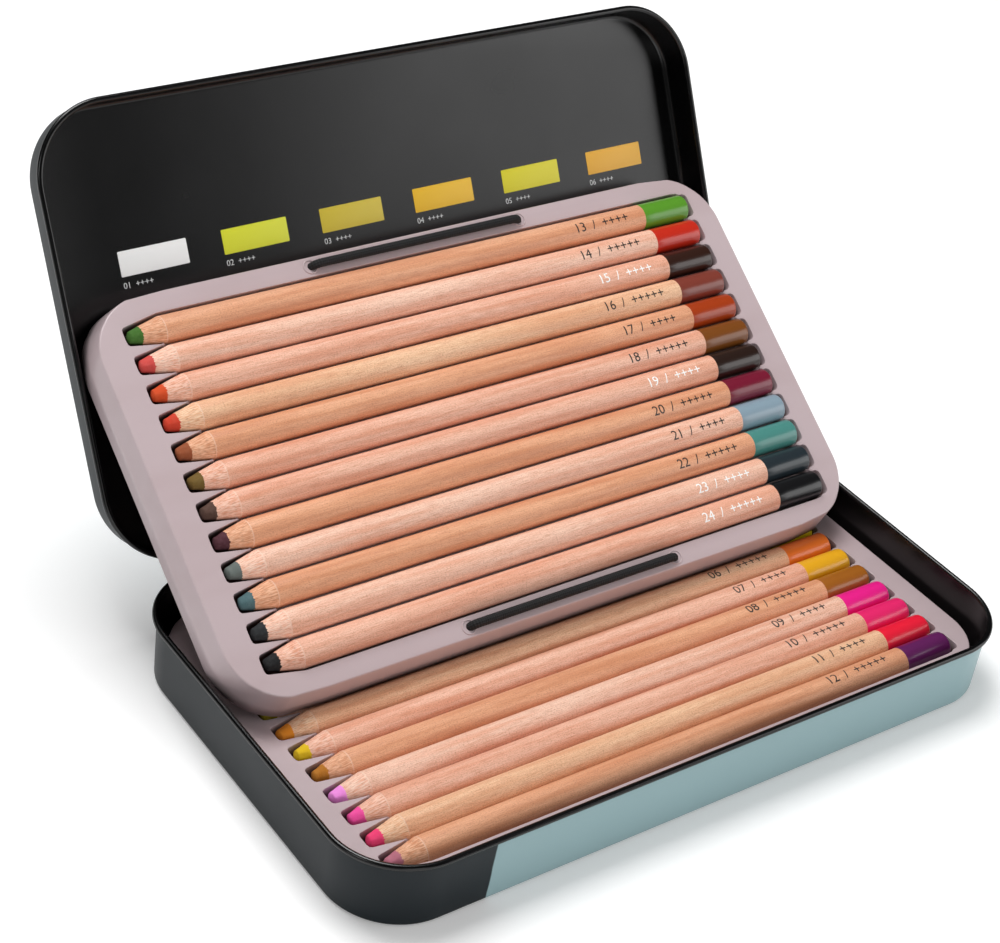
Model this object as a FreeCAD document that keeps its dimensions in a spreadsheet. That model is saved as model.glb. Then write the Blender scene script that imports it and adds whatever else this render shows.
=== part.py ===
"""Hinged tin of pastel pencils, lid open, with the upper tray leaning in it.

Millimetres, +Z up, +Y towards the hinge, origin at the centre of the tin's underside.
The pencils lie along X with their points towards -X. The lower tray stands on the tin's floor.
The upper tray stands with its front foot between two lower pencils and leans on the lid.
"""
import FreeCAD, Part
import math
import os

import Sketcher

SIZES = {
    # Tin: base and lid share one outline, measured over the rolled rim.
    "tin_length": 201.6,
    "tin_width": 116.0,
    "rim_corner": 20.0,
    "base_height": 19.4,
    "lid_depth": 9.8,
    "tin_sheet": 0.4,
    "floor_round": 0.9,
    "lid_round": 2.0,
    "bead_reach": 1.2,
    "bead_height": 1.6,
    "bead_round": 0.5,
    "rim_gap": 0.3,
    "open_angle": 119.0,
    # Two wire hinges behind the back rim.
    "hinge_reach": 1.5,
    "hinge_spacing": 120.0,
    "knuckle_diameter": 2.4,
    "base_knuckle_length": 5.0,
    "lid_knuckle_length": 8.0,
    "knuckle_gap": 0.3,
    "pin_diameter": 1.2,
    "pin_clearance": 0.08,
    "pin_overhang": 0.4,
    # Pencils: round cedar casing round a thick pastel core, sharpened and dipped.
    "pencil_length": 175.0,
    "pencil_diameter": 7.5,
    "core_diameter": 5.0,
    "point_diameter": 3.0,
    "sharpened_length": 10.4,
    "end_cap": 0.6,
    "end_round": 0.8,
    "point_round": 0.4,
    # Formed trays: twelve bullet-shaped channels side by side in a drafted cover.
    "pencil_pitch": 7.97,
    "pencil_offset": 0.4,
    "tray_length": 197.2,
    "tray_width": 111.0,
    "tray_corner": 17.8,
    "tray_height": 8.5,
    "tray_sheet": 0.5,
    "tray_draft": 10.5,
    "flange_round": 1.2,
    "channel_clearance": 0.3,
    "point_gap": 1.2,
    "point_slot_width": 5.2,
    "point_slot_round": 1.2,
    "end_gap": 2.6,
    "lower_tray_shift": 0.4,
    "lean_gap": 0.3,
    # Elastic pull cords, threaded down through two holes each and knotted below.
    "cord_diameter": 2.4,
    "cord_span": 66.0,
    "cord_place": 51.0,
    "cord_bend": 2.0,
    "cord_hole": 3.2,
    "cord_seat": 0.05,
    "knot_diameter": 3.8,
    # Every cut runs past the face that it opens by this much.
    "overrun": 2.0,
}
PENCIL_COUNT = 12
# The upper tray's front foot stands between this lower pencil and the next one to the front.
FOOT_ROW = 4

doc = FreeCAD.newDocument("pastel_pencil_tin")
sizes = doc.addObject("Spreadsheet::Sheet", "Sizes")
for row, (alias, value) in enumerate(SIZES.items(), start=1):
    sizes.set(f"A{row}", alias)
    sizes.set(f"B{row}", str(value))
    sizes.setAlias(f"B{row}", alias)
doc.recompute()

TOUCH = FreeCAD.Base.Precision.confusion()
X_AXIS = FreeCAD.Vector(1, 0, 0)
nodes = []


def size(alias):
    """Return one driving size from the sheet."""
    return float(sizes.get(alias))


def cells(text):
    """Write sheet addresses for the sizes that an expression names in braces."""
    return text.replace("{", "Sizes.").replace("}", "")


def number(text):
    """Return what an expression comes to now, as a first guess for a sketch."""
    result = sizes.evalExpression(cells(text))
    return float(getattr(result, "Value", result))


def new_body(label):
    """Start one node's body."""
    body = doc.addObject("PartDesign::Body", label)
    body.Label = label
    nodes.append(body)
    return body


def sketch_on(body, role, name, along="0", across="0", height="0"):
    """Attach a sketch to one of the body's origin planes, shifted in the plane's own axes."""
    plane = next(item for item in body.Origin.OriginFeatures if item.Role == role)
    sketch = body.newObject("Sketcher::SketchObject", name)
    sketch.AttachmentSupport = [(plane, "")]
    sketch.MapMode = "FlatFace"
    for axis, text in (("x", along), ("y", across), ("z", height)):
        if text != "0":
            sketch.setExpression(f"AttachmentOffset.Base.{axis}", cells(text))
    return sketch


def bind(sketch, kind, items, text):
    """Add one driving constraint and tie it to the sheet."""
    index = sketch.addConstraint(Sketcher.Constraint(kind, *items, number(text)))
    sketch.setExpression(f"Constraints[{index}]", cells(text))


def pin_point(sketch, line, end, along, across):
    """Hold one end of a line at a place given by two expressions."""
    if along == "0":
        sketch.addConstraint(Sketcher.Constraint("PointOnObject", line, end, -2))
    else:
        bind(sketch, "DistanceX", (-1, 1, line, end), along)
    if across == "0":
        sketch.addConstraint(Sketcher.Constraint("PointOnObject", line, end, -1))
    else:
        bind(sketch, "DistanceY", (-1, 1, line, end), across)


def polygon(sketch, points):
    """Draw a closed outline of straight lines through points given as pairs of expressions."""
    places = [FreeCAD.Vector(number(along), number(across), 0) for along, across in points]
    count = len(points)
    for step in range(count):
        sketch.addGeometry(Part.LineSegment(places[step], places[(step + 1) % count]), False)
    for step in range(count):
        following = (step + 1) % count
        sketch.addConstraint(Sketcher.Constraint("Coincident", step, 2, following, 1))
    for step, (along, across) in enumerate(points):
        pin_point(sketch, step, 1, along, across)


def rounded_rectangle(sketch, length, width, corner):
    """Draw a rectangle with round corners, centred on the sketch's origin."""
    first = sketch.GeometryCount
    half_length = number(length) / 2
    half_width = number(width) / 2
    radius = number(corner)
    straight_x = half_length - radius
    straight_y = half_width - radius
    spots = [
        (FreeCAD.Vector(-straight_x, -half_width, 0), FreeCAD.Vector(straight_x, -half_width, 0)),
        (FreeCAD.Vector(half_length, -straight_y, 0), FreeCAD.Vector(half_length, straight_y, 0)),
        (FreeCAD.Vector(straight_x, half_width, 0), FreeCAD.Vector(-straight_x, half_width, 0)),
        (FreeCAD.Vector(-half_length, straight_y, 0), FreeCAD.Vector(-half_length, -straight_y, 0)),
    ]
    centres = [(straight_x, -straight_y), (straight_x, straight_y)]
    centres += [(-straight_x, straight_y), (-straight_x, -straight_y)]
    upwards = FreeCAD.Vector(0, 0, 1)
    for side, (start, finish) in enumerate(spots):
        sketch.addGeometry(Part.LineSegment(start, finish), False)
        circle = Part.Circle(FreeCAD.Vector(*centres[side], 0), upwards, radius)
        turn = side * math.pi / 2
        sketch.addGeometry(Part.ArcOfCircle(circle, turn - math.pi / 2, turn), False)
    for side in range(4):
        line = first + 2 * side
        arc = line + 1
        following = first + (2 * side + 2) % 8
        sketch.addConstraint(Sketcher.Constraint("Tangent", line, 2, arc, 1))
        sketch.addConstraint(Sketcher.Constraint("Tangent", arc, 2, following, 1))
        sketch.addConstraint(Sketcher.Constraint("Horizontal" if side % 2 == 0 else "Vertical", line))
        if side > 0:
            sketch.addConstraint(Sketcher.Constraint("Equal", first + 1, arc))
    sketch.addConstraint(Sketcher.Constraint("Symmetric", first + 1, 3, first + 5, 3, -1, 1))
    bind(sketch, "Radius", (first + 1,), corner)
    bind(sketch, "DistanceX", (first + 6, 1, first + 2, 1), length)
    bind(sketch, "DistanceY", (first, 1, first + 4, 1), width)


def pad(body, sketch, name, length):
    """Raise a sketch into a solid."""
    feature = body.newObject("PartDesign::Pad", name)
    feature.Profile = sketch
    feature.setExpression("Length", cells(length))
    doc.recompute()
    return feature


def edges_at(feature, height):
    """Name the edges that lie wholly in one level plane of a feature."""
    names = []
    for index, edge in enumerate(feature.Shape.Edges, start=1):
        box = edge.BoundBox
        if abs(box.ZMin - height) < TOUCH and abs(box.ZMax - height) < TOUCH:
            names.append(f"Edge{index}")
    return names


def faces_at(feature, height):
    """Name the faces that lie in one level plane of a feature."""
    names = []
    for index, face in enumerate(feature.Shape.Faces, start=1):
        box = face.BoundBox
        if abs(box.ZMin - height) < TOUCH and abs(box.ZMax - height) < TOUCH:
            names.append(f"Face{index}")
    return names


def side_faces(feature):
    """Name the faces of a padded outline that stand upright."""
    names = []
    for index, face in enumerate(feature.Shape.Faces, start=1):
        if face.BoundBox.ZLength > TOUCH:
            names.append(f"Face{index}")
    return names


def round_edges(body, feature, names, name, radius):
    """Round some edges of a feature."""
    fillet = body.newObject("PartDesign::Fillet", name)
    fillet.Base = (feature, names)
    fillet.setExpression("Radius", cells(radius))
    doc.recompute()
    return fillet


def hollow(body, feature, names, name, sheet):
    """Turn a solid into a sheet shell that is open at the named faces."""
    shell = body.newObject("PartDesign::Thickness", name)
    shell.Base = (feature, names)
    shell.Reversed = True
    shell.setExpression("Value", cells(sheet))
    doc.recompute()
    return shell


def outer_edges(feature, height):
    """Name the level edges that run round the outside of the rolled rim."""
    half_length = size("tin_length") / 2
    half_width = size("tin_width") / 2
    names = []
    for name in edges_at(feature, height):
        edge = feature.Shape.getElement(name)
        for vertex in edge.Vertexes:
            at_end = abs(abs(vertex.X) - half_length) < TOUCH
            at_side = abs(abs(vertex.Y) - half_width) < TOUCH
            if at_end or at_side:
                names.append(name)
                break
    return names


def drawn_sheet(label, low, high, open_top, edge_round):
    """Draw one half of the tin: rounded outline, hollowed to a sheet, rim rolled outwards."""
    body = new_body(label)
    outline = sketch_on(body, "XY_Plane", f"{label}_outline", height=low)
    wall_length = "{tin_length} - 2 * {bead_reach}"
    wall_width = "{tin_width} - 2 * {bead_reach}"
    rounded_rectangle(outline, wall_length, wall_width, "{rim_corner} - {bead_reach}")
    block = pad(body, outline, f"{label}_block", f"({high}) - ({low})")
    closed_level = number(low) if open_top else number(high)
    open_level = number(high) if open_top else number(low)
    soft = round_edges(body, block, edges_at(block, closed_level), f"{label}_edge", edge_round)
    hollow(body, soft, faces_at(soft, open_level), f"{label}_shell", "{tin_sheet}")
    bead_low = f"{high} - {{bead_height}}" if open_top else low
    ring = sketch_on(body, "XY_Plane", f"{label}_ring", height=bead_low)
    rounded_rectangle(ring, "{tin_length}", "{tin_width}", "{rim_corner}")
    inner = "- 2 * {bead_reach} - {tin_sheet}"
    inner_corner = "{rim_corner} - {bead_reach} - {tin_sheet} / 2"
    rounded_rectangle(ring, "{tin_length} " + inner, "{tin_width} " + inner, inner_corner)
    bead = pad(body, ring, f"{label}_bead", "{bead_height}")
    bead_high = number(bead_low) + size("bead_height")
    names = outer_edges(bead, bead_high) + outer_edges(bead, number(bead_low))
    round_edges(body, bead, names, f"{label}_bead_round", "{bead_round}")
    return body


HINGE_Y = "{tin_width} / 2 + {hinge_reach}"
HINGE_Z = "{base_height} + {rim_gap} / 2"


def knuckle(body, name, start, length, rim, below):
    """Curl one hinge knuckle out of the rim, with its bore for the pin."""
    sketch = sketch_on(body, "YZ_Plane", f"{name}_outline", height=start)
    centre = FreeCAD.Vector(number(HINGE_Y), number(HINGE_Z), 0)
    radius = size("knuckle_diameter") / 2
    root = number("{tin_width} / 2 - {bead_reach} / 2")
    level = number(rim)
    tip = math.asin((centre.y - level) / radius)
    sign = -1 if below else 1
    outer = FreeCAD.Vector(centre.x, centre.y + sign * radius, 0)
    inner = FreeCAD.Vector(centre.x - radius * math.cos(tip), level, 0)
    corner_outer = FreeCAD.Vector(root, outer.y, 0)
    corner_inner = FreeCAD.Vector(root, level, 0)
    circle = Part.Circle(centre, FreeCAD.Vector(0, 0, 1), radius)
    turn = math.pi / 2
    span = (3 * turn, 6 * turn + tip) if below else (2 * turn + tip, 5 * turn)
    sketch.addGeometry(Part.LineSegment(corner_outer, outer), False)
    sketch.addGeometry(Part.ArcOfCircle(circle, *span), False)
    sketch.addGeometry(Part.LineSegment(inner, corner_inner), False)
    sketch.addGeometry(Part.LineSegment(corner_inner, corner_outer), False)
    bore = Part.Circle(centre, FreeCAD.Vector(0, 0, 1), radius / 2)
    sketch.addGeometry(bore, False)
    first, last = (1, 2) if below else (2, 1)
    sketch.addConstraint(Sketcher.Constraint("Tangent", 0, 2, 1, first))
    sketch.addConstraint(Sketcher.Constraint("Coincident", 1, last, 2, 1))
    sketch.addConstraint(Sketcher.Constraint("Coincident", 2, 2, 3, 1))
    sketch.addConstraint(Sketcher.Constraint("Coincident", 3, 2, 0, 1))
    sketch.addConstraint(Sketcher.Constraint("Horizontal", 0))
    sketch.addConstraint(Sketcher.Constraint("Horizontal", 2))
    sketch.addConstraint(Sketcher.Constraint("Vertical", 3))
    sketch.addConstraint(Sketcher.Constraint("Coincident", 4, 3, 1, 3))
    pin_point(sketch, 1, 3, HINGE_Y, HINGE_Z)
    bind(sketch, "Radius", (1,), "{knuckle_diameter} / 2")
    bind(sketch, "Radius", (4,), "{pin_diameter} / 2 + {pin_clearance}")
    bind(sketch, "DistanceY", (-1, 1, 2, 2), rim)
    bind(sketch, "DistanceX", (-1, 1, 3, 1), "{tin_width} / 2 - {bead_reach} / 2")
    return pad(body, sketch, name, length)


# Tin base, open at the top, with two knuckles at each hinge.
base = drawn_sheet("tin_base", "0", "{base_height}", True, "{floor_round}")
half_lid_knuckle = "{lid_knuckle_length} / 2 + {knuckle_gap}"
for side, sign in (("left", "-"), ("right", "")):
    middle = f"{sign}{{hinge_spacing}} / 2"
    near = f"{middle} - {half_lid_knuckle.replace('+', '-')} - {{base_knuckle_length}}"
    far = f"{middle} + {half_lid_knuckle}"
    knuckle(base, f"{side}_knuckle_a", near, "{base_knuckle_length}", "{base_height}", True)
    knuckle(base, f"{side}_knuckle_b", far, "{base_knuckle_length}", "{base_height}", True)

# Tin lid, drawn in its closed place and then swung open about the hinge axis.
LID_RIM = "{base_height} + {rim_gap}"
lid = drawn_sheet("tin_lid", LID_RIM, LID_RIM + " + {lid_depth}", False, "{lid_round}")
for side, sign in (("left", "-"), ("right", "")):
    start = f"{sign}{{hinge_spacing}} / 2 - {{lid_knuckle_length}} / 2"
    knuckle(lid, f"{side}_lid_knuckle", start, "{lid_knuckle_length}", LID_RIM, False)
hinge_y = number(HINGE_Y)
hinge_z = number(HINGE_Z)
open_angle = size("open_angle")
swing = FreeCAD.Rotation(X_AXIS, -open_angle)
lid.Placement = FreeCAD.Placement(FreeCAD.Vector(), swing, FreeCAD.Vector(0, hinge_y, hinge_z))

# Hinge pins: one wire pin per hinge, both in one node.
wires = []
for side, sign in (("left", "-"), ("right", "")):
    wire = doc.addObject("Part::Cylinder", f"{side}_pin")
    wire.setExpression("Radius", cells("{pin_diameter} / 2"))
    reach = "{lid_knuckle_length} + 2 * {knuckle_gap} + 2 * {base_knuckle_length} + 2 * {pin_overhang}"
    wire.setExpression("Height", cells(reach))
    along_x = FreeCAD.Rotation(FreeCAD.Vector(0, 1, 0), 90)
    middle = number(f"{sign}{{hinge_spacing}} / 2")
    spot = FreeCAD.Vector(middle - number(reach) / 2, hinge_y, hinge_z)
    wire.Placement = FreeCAD.Placement(spot, along_x)
    wires.append(wire)
pins = doc.addObject("Part::Compound", "hinge_pins")
pins.Label = "hinge_pins"
pins.Links = wires
nodes.append(pins)


def channel_outline(body, name, grow):
    """Draw half of one channel seen from above: bullet-shaped, its origin at the point's end wall.

    The outline is grown by the sheet for the outside of the channel.
    """
    first_row = f"-{{pencil_pitch}} * {PENCIL_COUNT - 1} / 2"
    start = f"-{{pencil_length}} / 2 - {{pencil_offset}} - {{point_gap}} - {grow}"
    sketch = sketch_on(body, "XY_Plane", name, along=start, across=first_row, height="{tray_height}")
    tip_half = f"{{point_slot_width}} / 2 + {grow}"
    tip_round = f"{{point_slot_round}} + {grow}"
    shoulder = f"{{point_gap}} + {{sharpened_length}} + {grow}"
    half = f"{{pencil_diameter}} / 2 + {{channel_clearance}} + {grow}"
    finish = f"{{point_gap}} + {{pencil_length}} + {{end_gap}} + 2 * {grow}"
    radius = number(tip_round)
    rise = number(tip_half)
    slope = math.atan2(number(half) - rise, number(shoulder) - radius)
    centre = FreeCAD.Vector(radius, rise - radius * math.cos(slope), 0)
    low = FreeCAD.Vector(0, centre.y, 0)
    high = FreeCAD.Vector(radius - radius * math.sin(slope), rise, 0)
    bend = FreeCAD.Vector(number(shoulder), number(half), 0)
    end_high = FreeCAD.Vector(number(finish), number(half), 0)
    end_low = FreeCAD.Vector(number(finish), 0, 0)
    circle = Part.Circle(centre, FreeCAD.Vector(0, 0, 1), radius)
    sketch.addGeometry(Part.LineSegment(FreeCAD.Vector(), low), False)
    sketch.addGeometry(Part.ArcOfCircle(circle, math.pi / 2 + slope, math.pi), False)
    sketch.addGeometry(Part.LineSegment(high, bend), False)
    sketch.addGeometry(Part.LineSegment(bend, end_high), False)
    sketch.addGeometry(Part.LineSegment(end_high, end_low), False)
    sketch.addGeometry(Part.LineSegment(end_low, FreeCAD.Vector()), False)
    sketch.addConstraint(Sketcher.Constraint("Tangent", 0, 2, 1, 2))
    sketch.addConstraint(Sketcher.Constraint("Tangent", 2, 1, 1, 1))
    for line in (2, 3, 4):
        sketch.addConstraint(Sketcher.Constraint("Coincident", line, 2, line + 1, 1))
    sketch.addConstraint(Sketcher.Constraint("Coincident", 5, 2, 0, 1))
    sketch.addConstraint(Sketcher.Constraint("Vertical", 0))
    sketch.addConstraint(Sketcher.Constraint("Horizontal", 3))
    sketch.addConstraint(Sketcher.Constraint("Vertical", 4))
    sketch.addConstraint(Sketcher.Constraint("Horizontal", 5))
    sketch.addConstraint(Sketcher.Constraint("Coincident", 0, 1, -1, 1))
    bind(sketch, "Radius", (1,), tip_round)
    bind(sketch, "DistanceY", (-1, 1, 2, 1), tip_half)
    bind(sketch, "DistanceX", (-1, 1, 3, 1), shoulder)
    bind(sketch, "DistanceY", (-1, 1, 3, 1), half)
    bind(sketch, "DistanceX", (-1, 1, 3, 2), finish)
    return sketch


def half_turn(body, sketch, kind, name):
    """Turn a channel outline half round its own axis, downwards from the flange."""
    before = body.Tip.Shape.Volume
    feature = body.newObject(kind, name)
    feature.Profile = sketch
    feature.ReferenceAxis = (sketch, ["H_Axis"])
    feature.Angle = 180
    feature.Reversed = False
    doc.recompute()
    too_high = feature.Shape.BoundBox.ZMax > size("tray_height") + TOUCH
    no_cut = kind == "PartDesign::Groove" and feature.Shape.Volume > before - TOUCH
    if too_high or no_cut:
        feature.Reversed = True
        doc.recompute()
    return feature


def repeat_rows(body, feature, sketch, name):
    """Repeat one channel feature over all the pencil rows."""
    rows = body.newObject("PartDesign::LinearPattern", name)
    rows.Originals = [feature]
    rows.Direction = (sketch, ["V_Axis"])
    rows.setExpression("Length", cells(f"{{pencil_pitch}} * {PENCIL_COUNT - 1}"))
    rows.Occurrences = PENCIL_COUNT
    body.Tip = rows
    doc.recompute()
    return rows


def formed_tray(label, with_cords):
    """Form one tray: drafted cover with a soft flange edge, hollowed, channels pressed down into it."""
    body = new_body(label)
    outline = sketch_on(body, "XY_Plane", f"{label}_outline")
    rounded_rectangle(outline, "{tray_length}", "{tray_width}", "{tray_corner}")
    block = pad(body, outline, f"{label}_block", "{tray_height}")
    draft = body.newObject("PartDesign::Draft", f"{label}_draft")
    draft.Base = (block, side_faces(block))
    draft.NeutralPlane = (block, faces_at(block, 0))
    draft.setExpression("Angle", cells("{tray_draft}"))
    doc.recompute()
    top_edges = edges_at(draft, size("tray_height"))
    soft = round_edges(body, draft, top_edges, f"{label}_flange_edge", "{flange_round}")
    hollow(body, soft, faces_at(soft, 0), f"{label}_cover", "{tray_sheet}")
    outside = channel_outline(body, f"{label}_channel_outside", "{tray_sheet}")
    bed = half_turn(body, outside, "PartDesign::Revolution", f"{label}_bed")
    repeat_rows(body, bed, outside, f"{label}_beds")
    inside = channel_outline(body, f"{label}_channel_inside", "0 * {tray_sheet}")
    groove = half_turn(body, inside, "PartDesign::Groove", f"{label}_channel")
    repeat_rows(body, groove, inside, f"{label}_channels")
    if with_cords:
        holes = sketch_on(body, "XY_Plane", f"{label}_holes", height="{tray_height}")
        upwards = FreeCAD.Vector(0, 0, 1)
        half_span = size("cord_span") / 2
        place = size("cord_place")
        for step, (end, across) in enumerate(((-1, -1), (1, -1), (1, 1), (-1, 1))):
            centre = FreeCAD.Vector(end * half_span, across * place, 0)
            holes.addGeometry(Part.Circle(centre, upwards, size("cord_hole") / 2), False)
            bind(holes, "Radius", (step,), "{cord_hole} / 2")
            ends = (step, 3, -1, 1) if end < 0 else (-1, 1, step, 3)
            bind(holes, "DistanceX", ends, "{cord_span} / 2")
            ends = (step, 3, -1, 1) if across < 0 else (-1, 1, step, 3)
            bind(holes, "DistanceY", ends, "{cord_place}")
        pierce = body.newObject("PartDesign::Pocket", f"{label}_cord_holes")
        pierce.Profile = holes
        pierce.setExpression("Length", cells("{tray_sheet} + {overrun}"))
        doc.recompute()
    return body


def pull_cord(label, across):
    """Run one elastic cord along the flange, down through its two holes and into a knot at each end."""
    body = new_body(label)
    height = "{tray_height} + {cord_seat} + {cord_diameter} / 2"
    low = "{tray_height} - {tray_sheet} - {knot_diameter} / 2"
    route = sketch_on(body, "XZ_Plane", f"{label}_route", height=f"-({across})")
    half = number("{cord_span} / 2")
    bend = size("cord_bend")
    top = number(height)
    bottom = number(low)
    upwards = FreeCAD.Vector(0, 0, 1)
    left = Part.Circle(FreeCAD.Vector(-half + bend, top - bend, 0), upwards, bend)
    right = Part.Circle(FreeCAD.Vector(half - bend, top - bend, 0), upwards, bend)
    down_left = (FreeCAD.Vector(-half, bottom, 0), FreeCAD.Vector(-half, top - bend, 0))
    run = (FreeCAD.Vector(-half + bend, top, 0), FreeCAD.Vector(half - bend, top, 0))
    down_right = (FreeCAD.Vector(half, top - bend, 0), FreeCAD.Vector(half, bottom, 0))
    route.addGeometry(Part.LineSegment(*down_left), False)
    route.addGeometry(Part.ArcOfCircle(left, math.pi / 2, math.pi), False)
    route.addGeometry(Part.LineSegment(*run), False)
    route.addGeometry(Part.ArcOfCircle(right, 0, math.pi / 2), False)
    route.addGeometry(Part.LineSegment(*down_right), False)
    route.addConstraint(Sketcher.Constraint("Tangent", 0, 2, 1, 2))
    route.addConstraint(Sketcher.Constraint("Tangent", 1, 1, 2, 1))
    route.addConstraint(Sketcher.Constraint("Tangent", 2, 2, 3, 2))
    route.addConstraint(Sketcher.Constraint("Tangent", 3, 1, 4, 1))
    route.addConstraint(Sketcher.Constraint("Vertical", 0))
    route.addConstraint(Sketcher.Constraint("Horizontal", 2))
    route.addConstraint(Sketcher.Constraint("Vertical", 4))
    route.addConstraint(Sketcher.Constraint("Equal", 1, 3))
    route.addConstraint(Sketcher.Constraint("Horizontal", 0, 1, 4, 2))
    bind(route, "Radius", (1,), "{cord_bend}")
    bind(route, "DistanceX", (0, 1, -1, 1), "{cord_span} / 2")
    bind(route, "DistanceX", (-1, 1, 4, 2), "{cord_span} / 2")
    bind(route, "DistanceY", (-1, 1, 0, 1), low)
    bind(route, "DistanceY", (-1, 1, 2, 1), height)
    start = "-{cord_span} / 2"
    section = sketch_on(body, "XY_Plane", f"{label}_section", along=start, across=across, height=low)
    section.addGeometry(Part.Circle(FreeCAD.Vector(), upwards, size("cord_diameter") / 2), False)
    section.addConstraint(Sketcher.Constraint("Coincident", 0, 3, -1, 1))
    bind(section, "Radius", (0,), "{cord_diameter} / 2")
    cord = body.newObject("PartDesign::AdditivePipe", f"{label}_cord")
    cord.Profile = section
    cord.Spine = (route, ["Edge1", "Edge2", "Edge3", "Edge4", "Edge5"])
    doc.recompute()
    for side, sign in (("left", "-"), ("right", "")):
        knot = body.newObject("PartDesign::AdditiveSphere", f"{label}_{side}_knot")
        knot.setExpression("Radius", cells("{knot_diameter} / 2"))
        knot.setExpression("Placement.Base.x", cells(f"{sign}{{cord_span}} / 2"))
        knot.setExpression("Placement.Base.y", cells(across))
        knot.setExpression("Placement.Base.z", cells(low))
        doc.recompute()
    return body


def lower_row(index):
    """Return the place of one lower pencil's axis as (y, z), row 0 at the back."""
    across = (PENCIL_COUNT - 1) * size("pencil_pitch") / 2 - index * size("pencil_pitch")
    return across - size("lower_tray_shift"), size("tin_sheet") + size("tray_height")


def leaning_place():
    """Work out how the upper tray leans: foot between two pencils, back against the lid's panel.

    Returns the lean in radians and the front foot's (y, z).
    """
    keep = size("pencil_diameter") / 2 + size("lean_gap")
    gap = size("lean_gap")
    width = size("tray_width")
    draft = math.radians(size("tray_draft"))
    slant = math.pi - math.radians(open_angle)
    panel_depth = number(LID_RIM) + size("lid_depth") - size("tin_sheet") - hinge_z
    panel_y = hinge_y + panel_depth * math.sin(slant)
    panel_z = hinge_z - panel_depth * math.cos(slant)
    behind = lower_row(FOOT_ROW)
    ahead = lower_row(FOOT_ROW + 1)
    lean = slant / 2
    foot = behind
    for _ in range(PENCIL_COUNT * PENCIL_COUNT):
        up = (-math.sin(lean), math.cos(lean))
        out = (-math.cos(draft - lean), math.sin(draft - lean))
        under = up[0] * behind[0] + up[1] * behind[1] + keep
        front = out[0] * ahead[0] + out[1] * ahead[1] - keep
        mix = up[0] * out[1] - up[1] * out[0]
        foot = ((under * out[1] - up[1] * front) / mix, (up[0] * front - under * out[0]) / mix)
        inside = -math.sin(slant) * (foot[0] - panel_y) + math.cos(slant) * (foot[1] - panel_z)
        lean = slant + math.asin((gap - inside) / width)
    return lean, foot


# Trays. The lower one stands on the floor, a little to the front. The upper one leans.
lower_tray = formed_tray("lower_tray", False)
lower_place = FreeCAD.Placement()
lower_place.Base = FreeCAD.Vector(0, -size("lower_tray_shift"), size("tin_sheet"))
lower_tray.Placement = lower_place
upper_tray = formed_tray("upper_tray", True)
lean, foot = leaning_place()
turn = FreeCAD.Rotation(X_AXIS, math.degrees(lean))
half_foot = turn.multVec(FreeCAD.Vector(0, -size("tray_width") / 2, 0))
upper_place = FreeCAD.Placement(FreeCAD.Vector(0, foot[0], foot[1]) - half_foot, turn)
upper_tray.Placement = upper_place
for label, across in (("pull_cord_back", "{cord_place}"), ("pull_cord_front", "-{cord_place}")):
    pull_cord(label, across).Placement = upper_place


def revolved(label, points, edge_place, radius):
    """Turn a profile about the pencil's axis and soften the one ring edge at a given place."""
    body = new_body(label)
    profile = sketch_on(body, "XY_Plane", f"{label}_profile")
    polygon(profile, points)
    feature = body.newObject("PartDesign::Revolution", f"{label}_turned")
    feature.Profile = profile
    feature.ReferenceAxis = (profile, ["H_Axis"])
    feature.Angle = 360
    doc.recompute()
    names = []
    spot = number(edge_place[0])
    ring = number(edge_place[1])
    for index, edge in enumerate(feature.Shape.Edges, start=1):
        box = edge.BoundBox
        flat = abs(box.XMin - spot) < TOUCH and abs(box.XMax - spot) < TOUCH
        if flat and len(edge.Vertexes) == 1 and abs(edge.Curve.Radius - ring) < TOUCH:
            names.append(f"Edge{index}")
    round_edges(body, feature, names, f"{label}_soft", radius)
    return body


BARE = "{sharpened_length} * ({core_diameter} - {point_diameter}) / ({pencil_diameter} - {point_diameter})"
BORE_END = "{pencil_length} - {end_cap}"
CASING = [
    (BARE, "{core_diameter} / 2"),
    ("{sharpened_length}", "{pencil_diameter} / 2"),
    ("{pencil_length}", "{pencil_diameter} / 2"),
    ("{pencil_length}", "0"),
    (BORE_END, "0"),
    (BORE_END, "{core_diameter} / 2"),
]
CORE = [
    ("0", "0"),
    ("0", "{point_diameter} / 2"),
    (BARE, "{core_diameter} / 2"),
    (BORE_END, "{core_diameter} / 2"),
    (BORE_END, "0"),
]

# Pencils: row 01 is at the back of each tray.
for tray_name, place in (("upper", upper_place), ("lower", lower_place)):
    for row in range(PENCIL_COUNT):
        across = ((PENCIL_COUNT - 1) / 2 - row) * size("pencil_pitch")
        tip = -size("pencil_length") / 2 - size("pencil_offset")
        rest = place.multiply(FreeCAD.Placement(FreeCAD.Vector(tip, across, size("tray_height")), FreeCAD.Rotation()))
        number_text = f"{row + 1:02d}"
        casing_end = ("{pencil_length}", "{pencil_diameter} / 2")
        casing = revolved(f"{tray_name}_casing_{number_text}", CASING, casing_end, "{end_round}")
        casing.Placement = rest
        core_end = ("0", "{point_diameter} / 2")
        core = revolved(f"{tray_name}_core_{number_text}", CORE, core_end, "{point_round}")
        core.Placement = rest

doc.recompute()
for item in doc.Objects:
    if "Invalid" in item.State or "Error" in item.State:
        raise RuntimeError(f"{item.Name} did not build: {item.State}")
os.makedirs("parts", exist_ok=True)
for node in nodes:
    if node.Shape.isNull() or not node.Shape.isValid():
        raise RuntimeError(f"{node.Label} has no valid shape")
    node.Shape.exportStep(f"parts/{node.Label}.step")
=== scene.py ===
"""Looks for the hinged tin of pastel pencils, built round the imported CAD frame.

Sizes are millimetres in the CAD's own axes: +Z up, +Y to the hinge, pencils along X, points to -X.
Every surface is worked out as whole numpy arrays and put into a mesh in metres, at the origin.
"""

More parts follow.
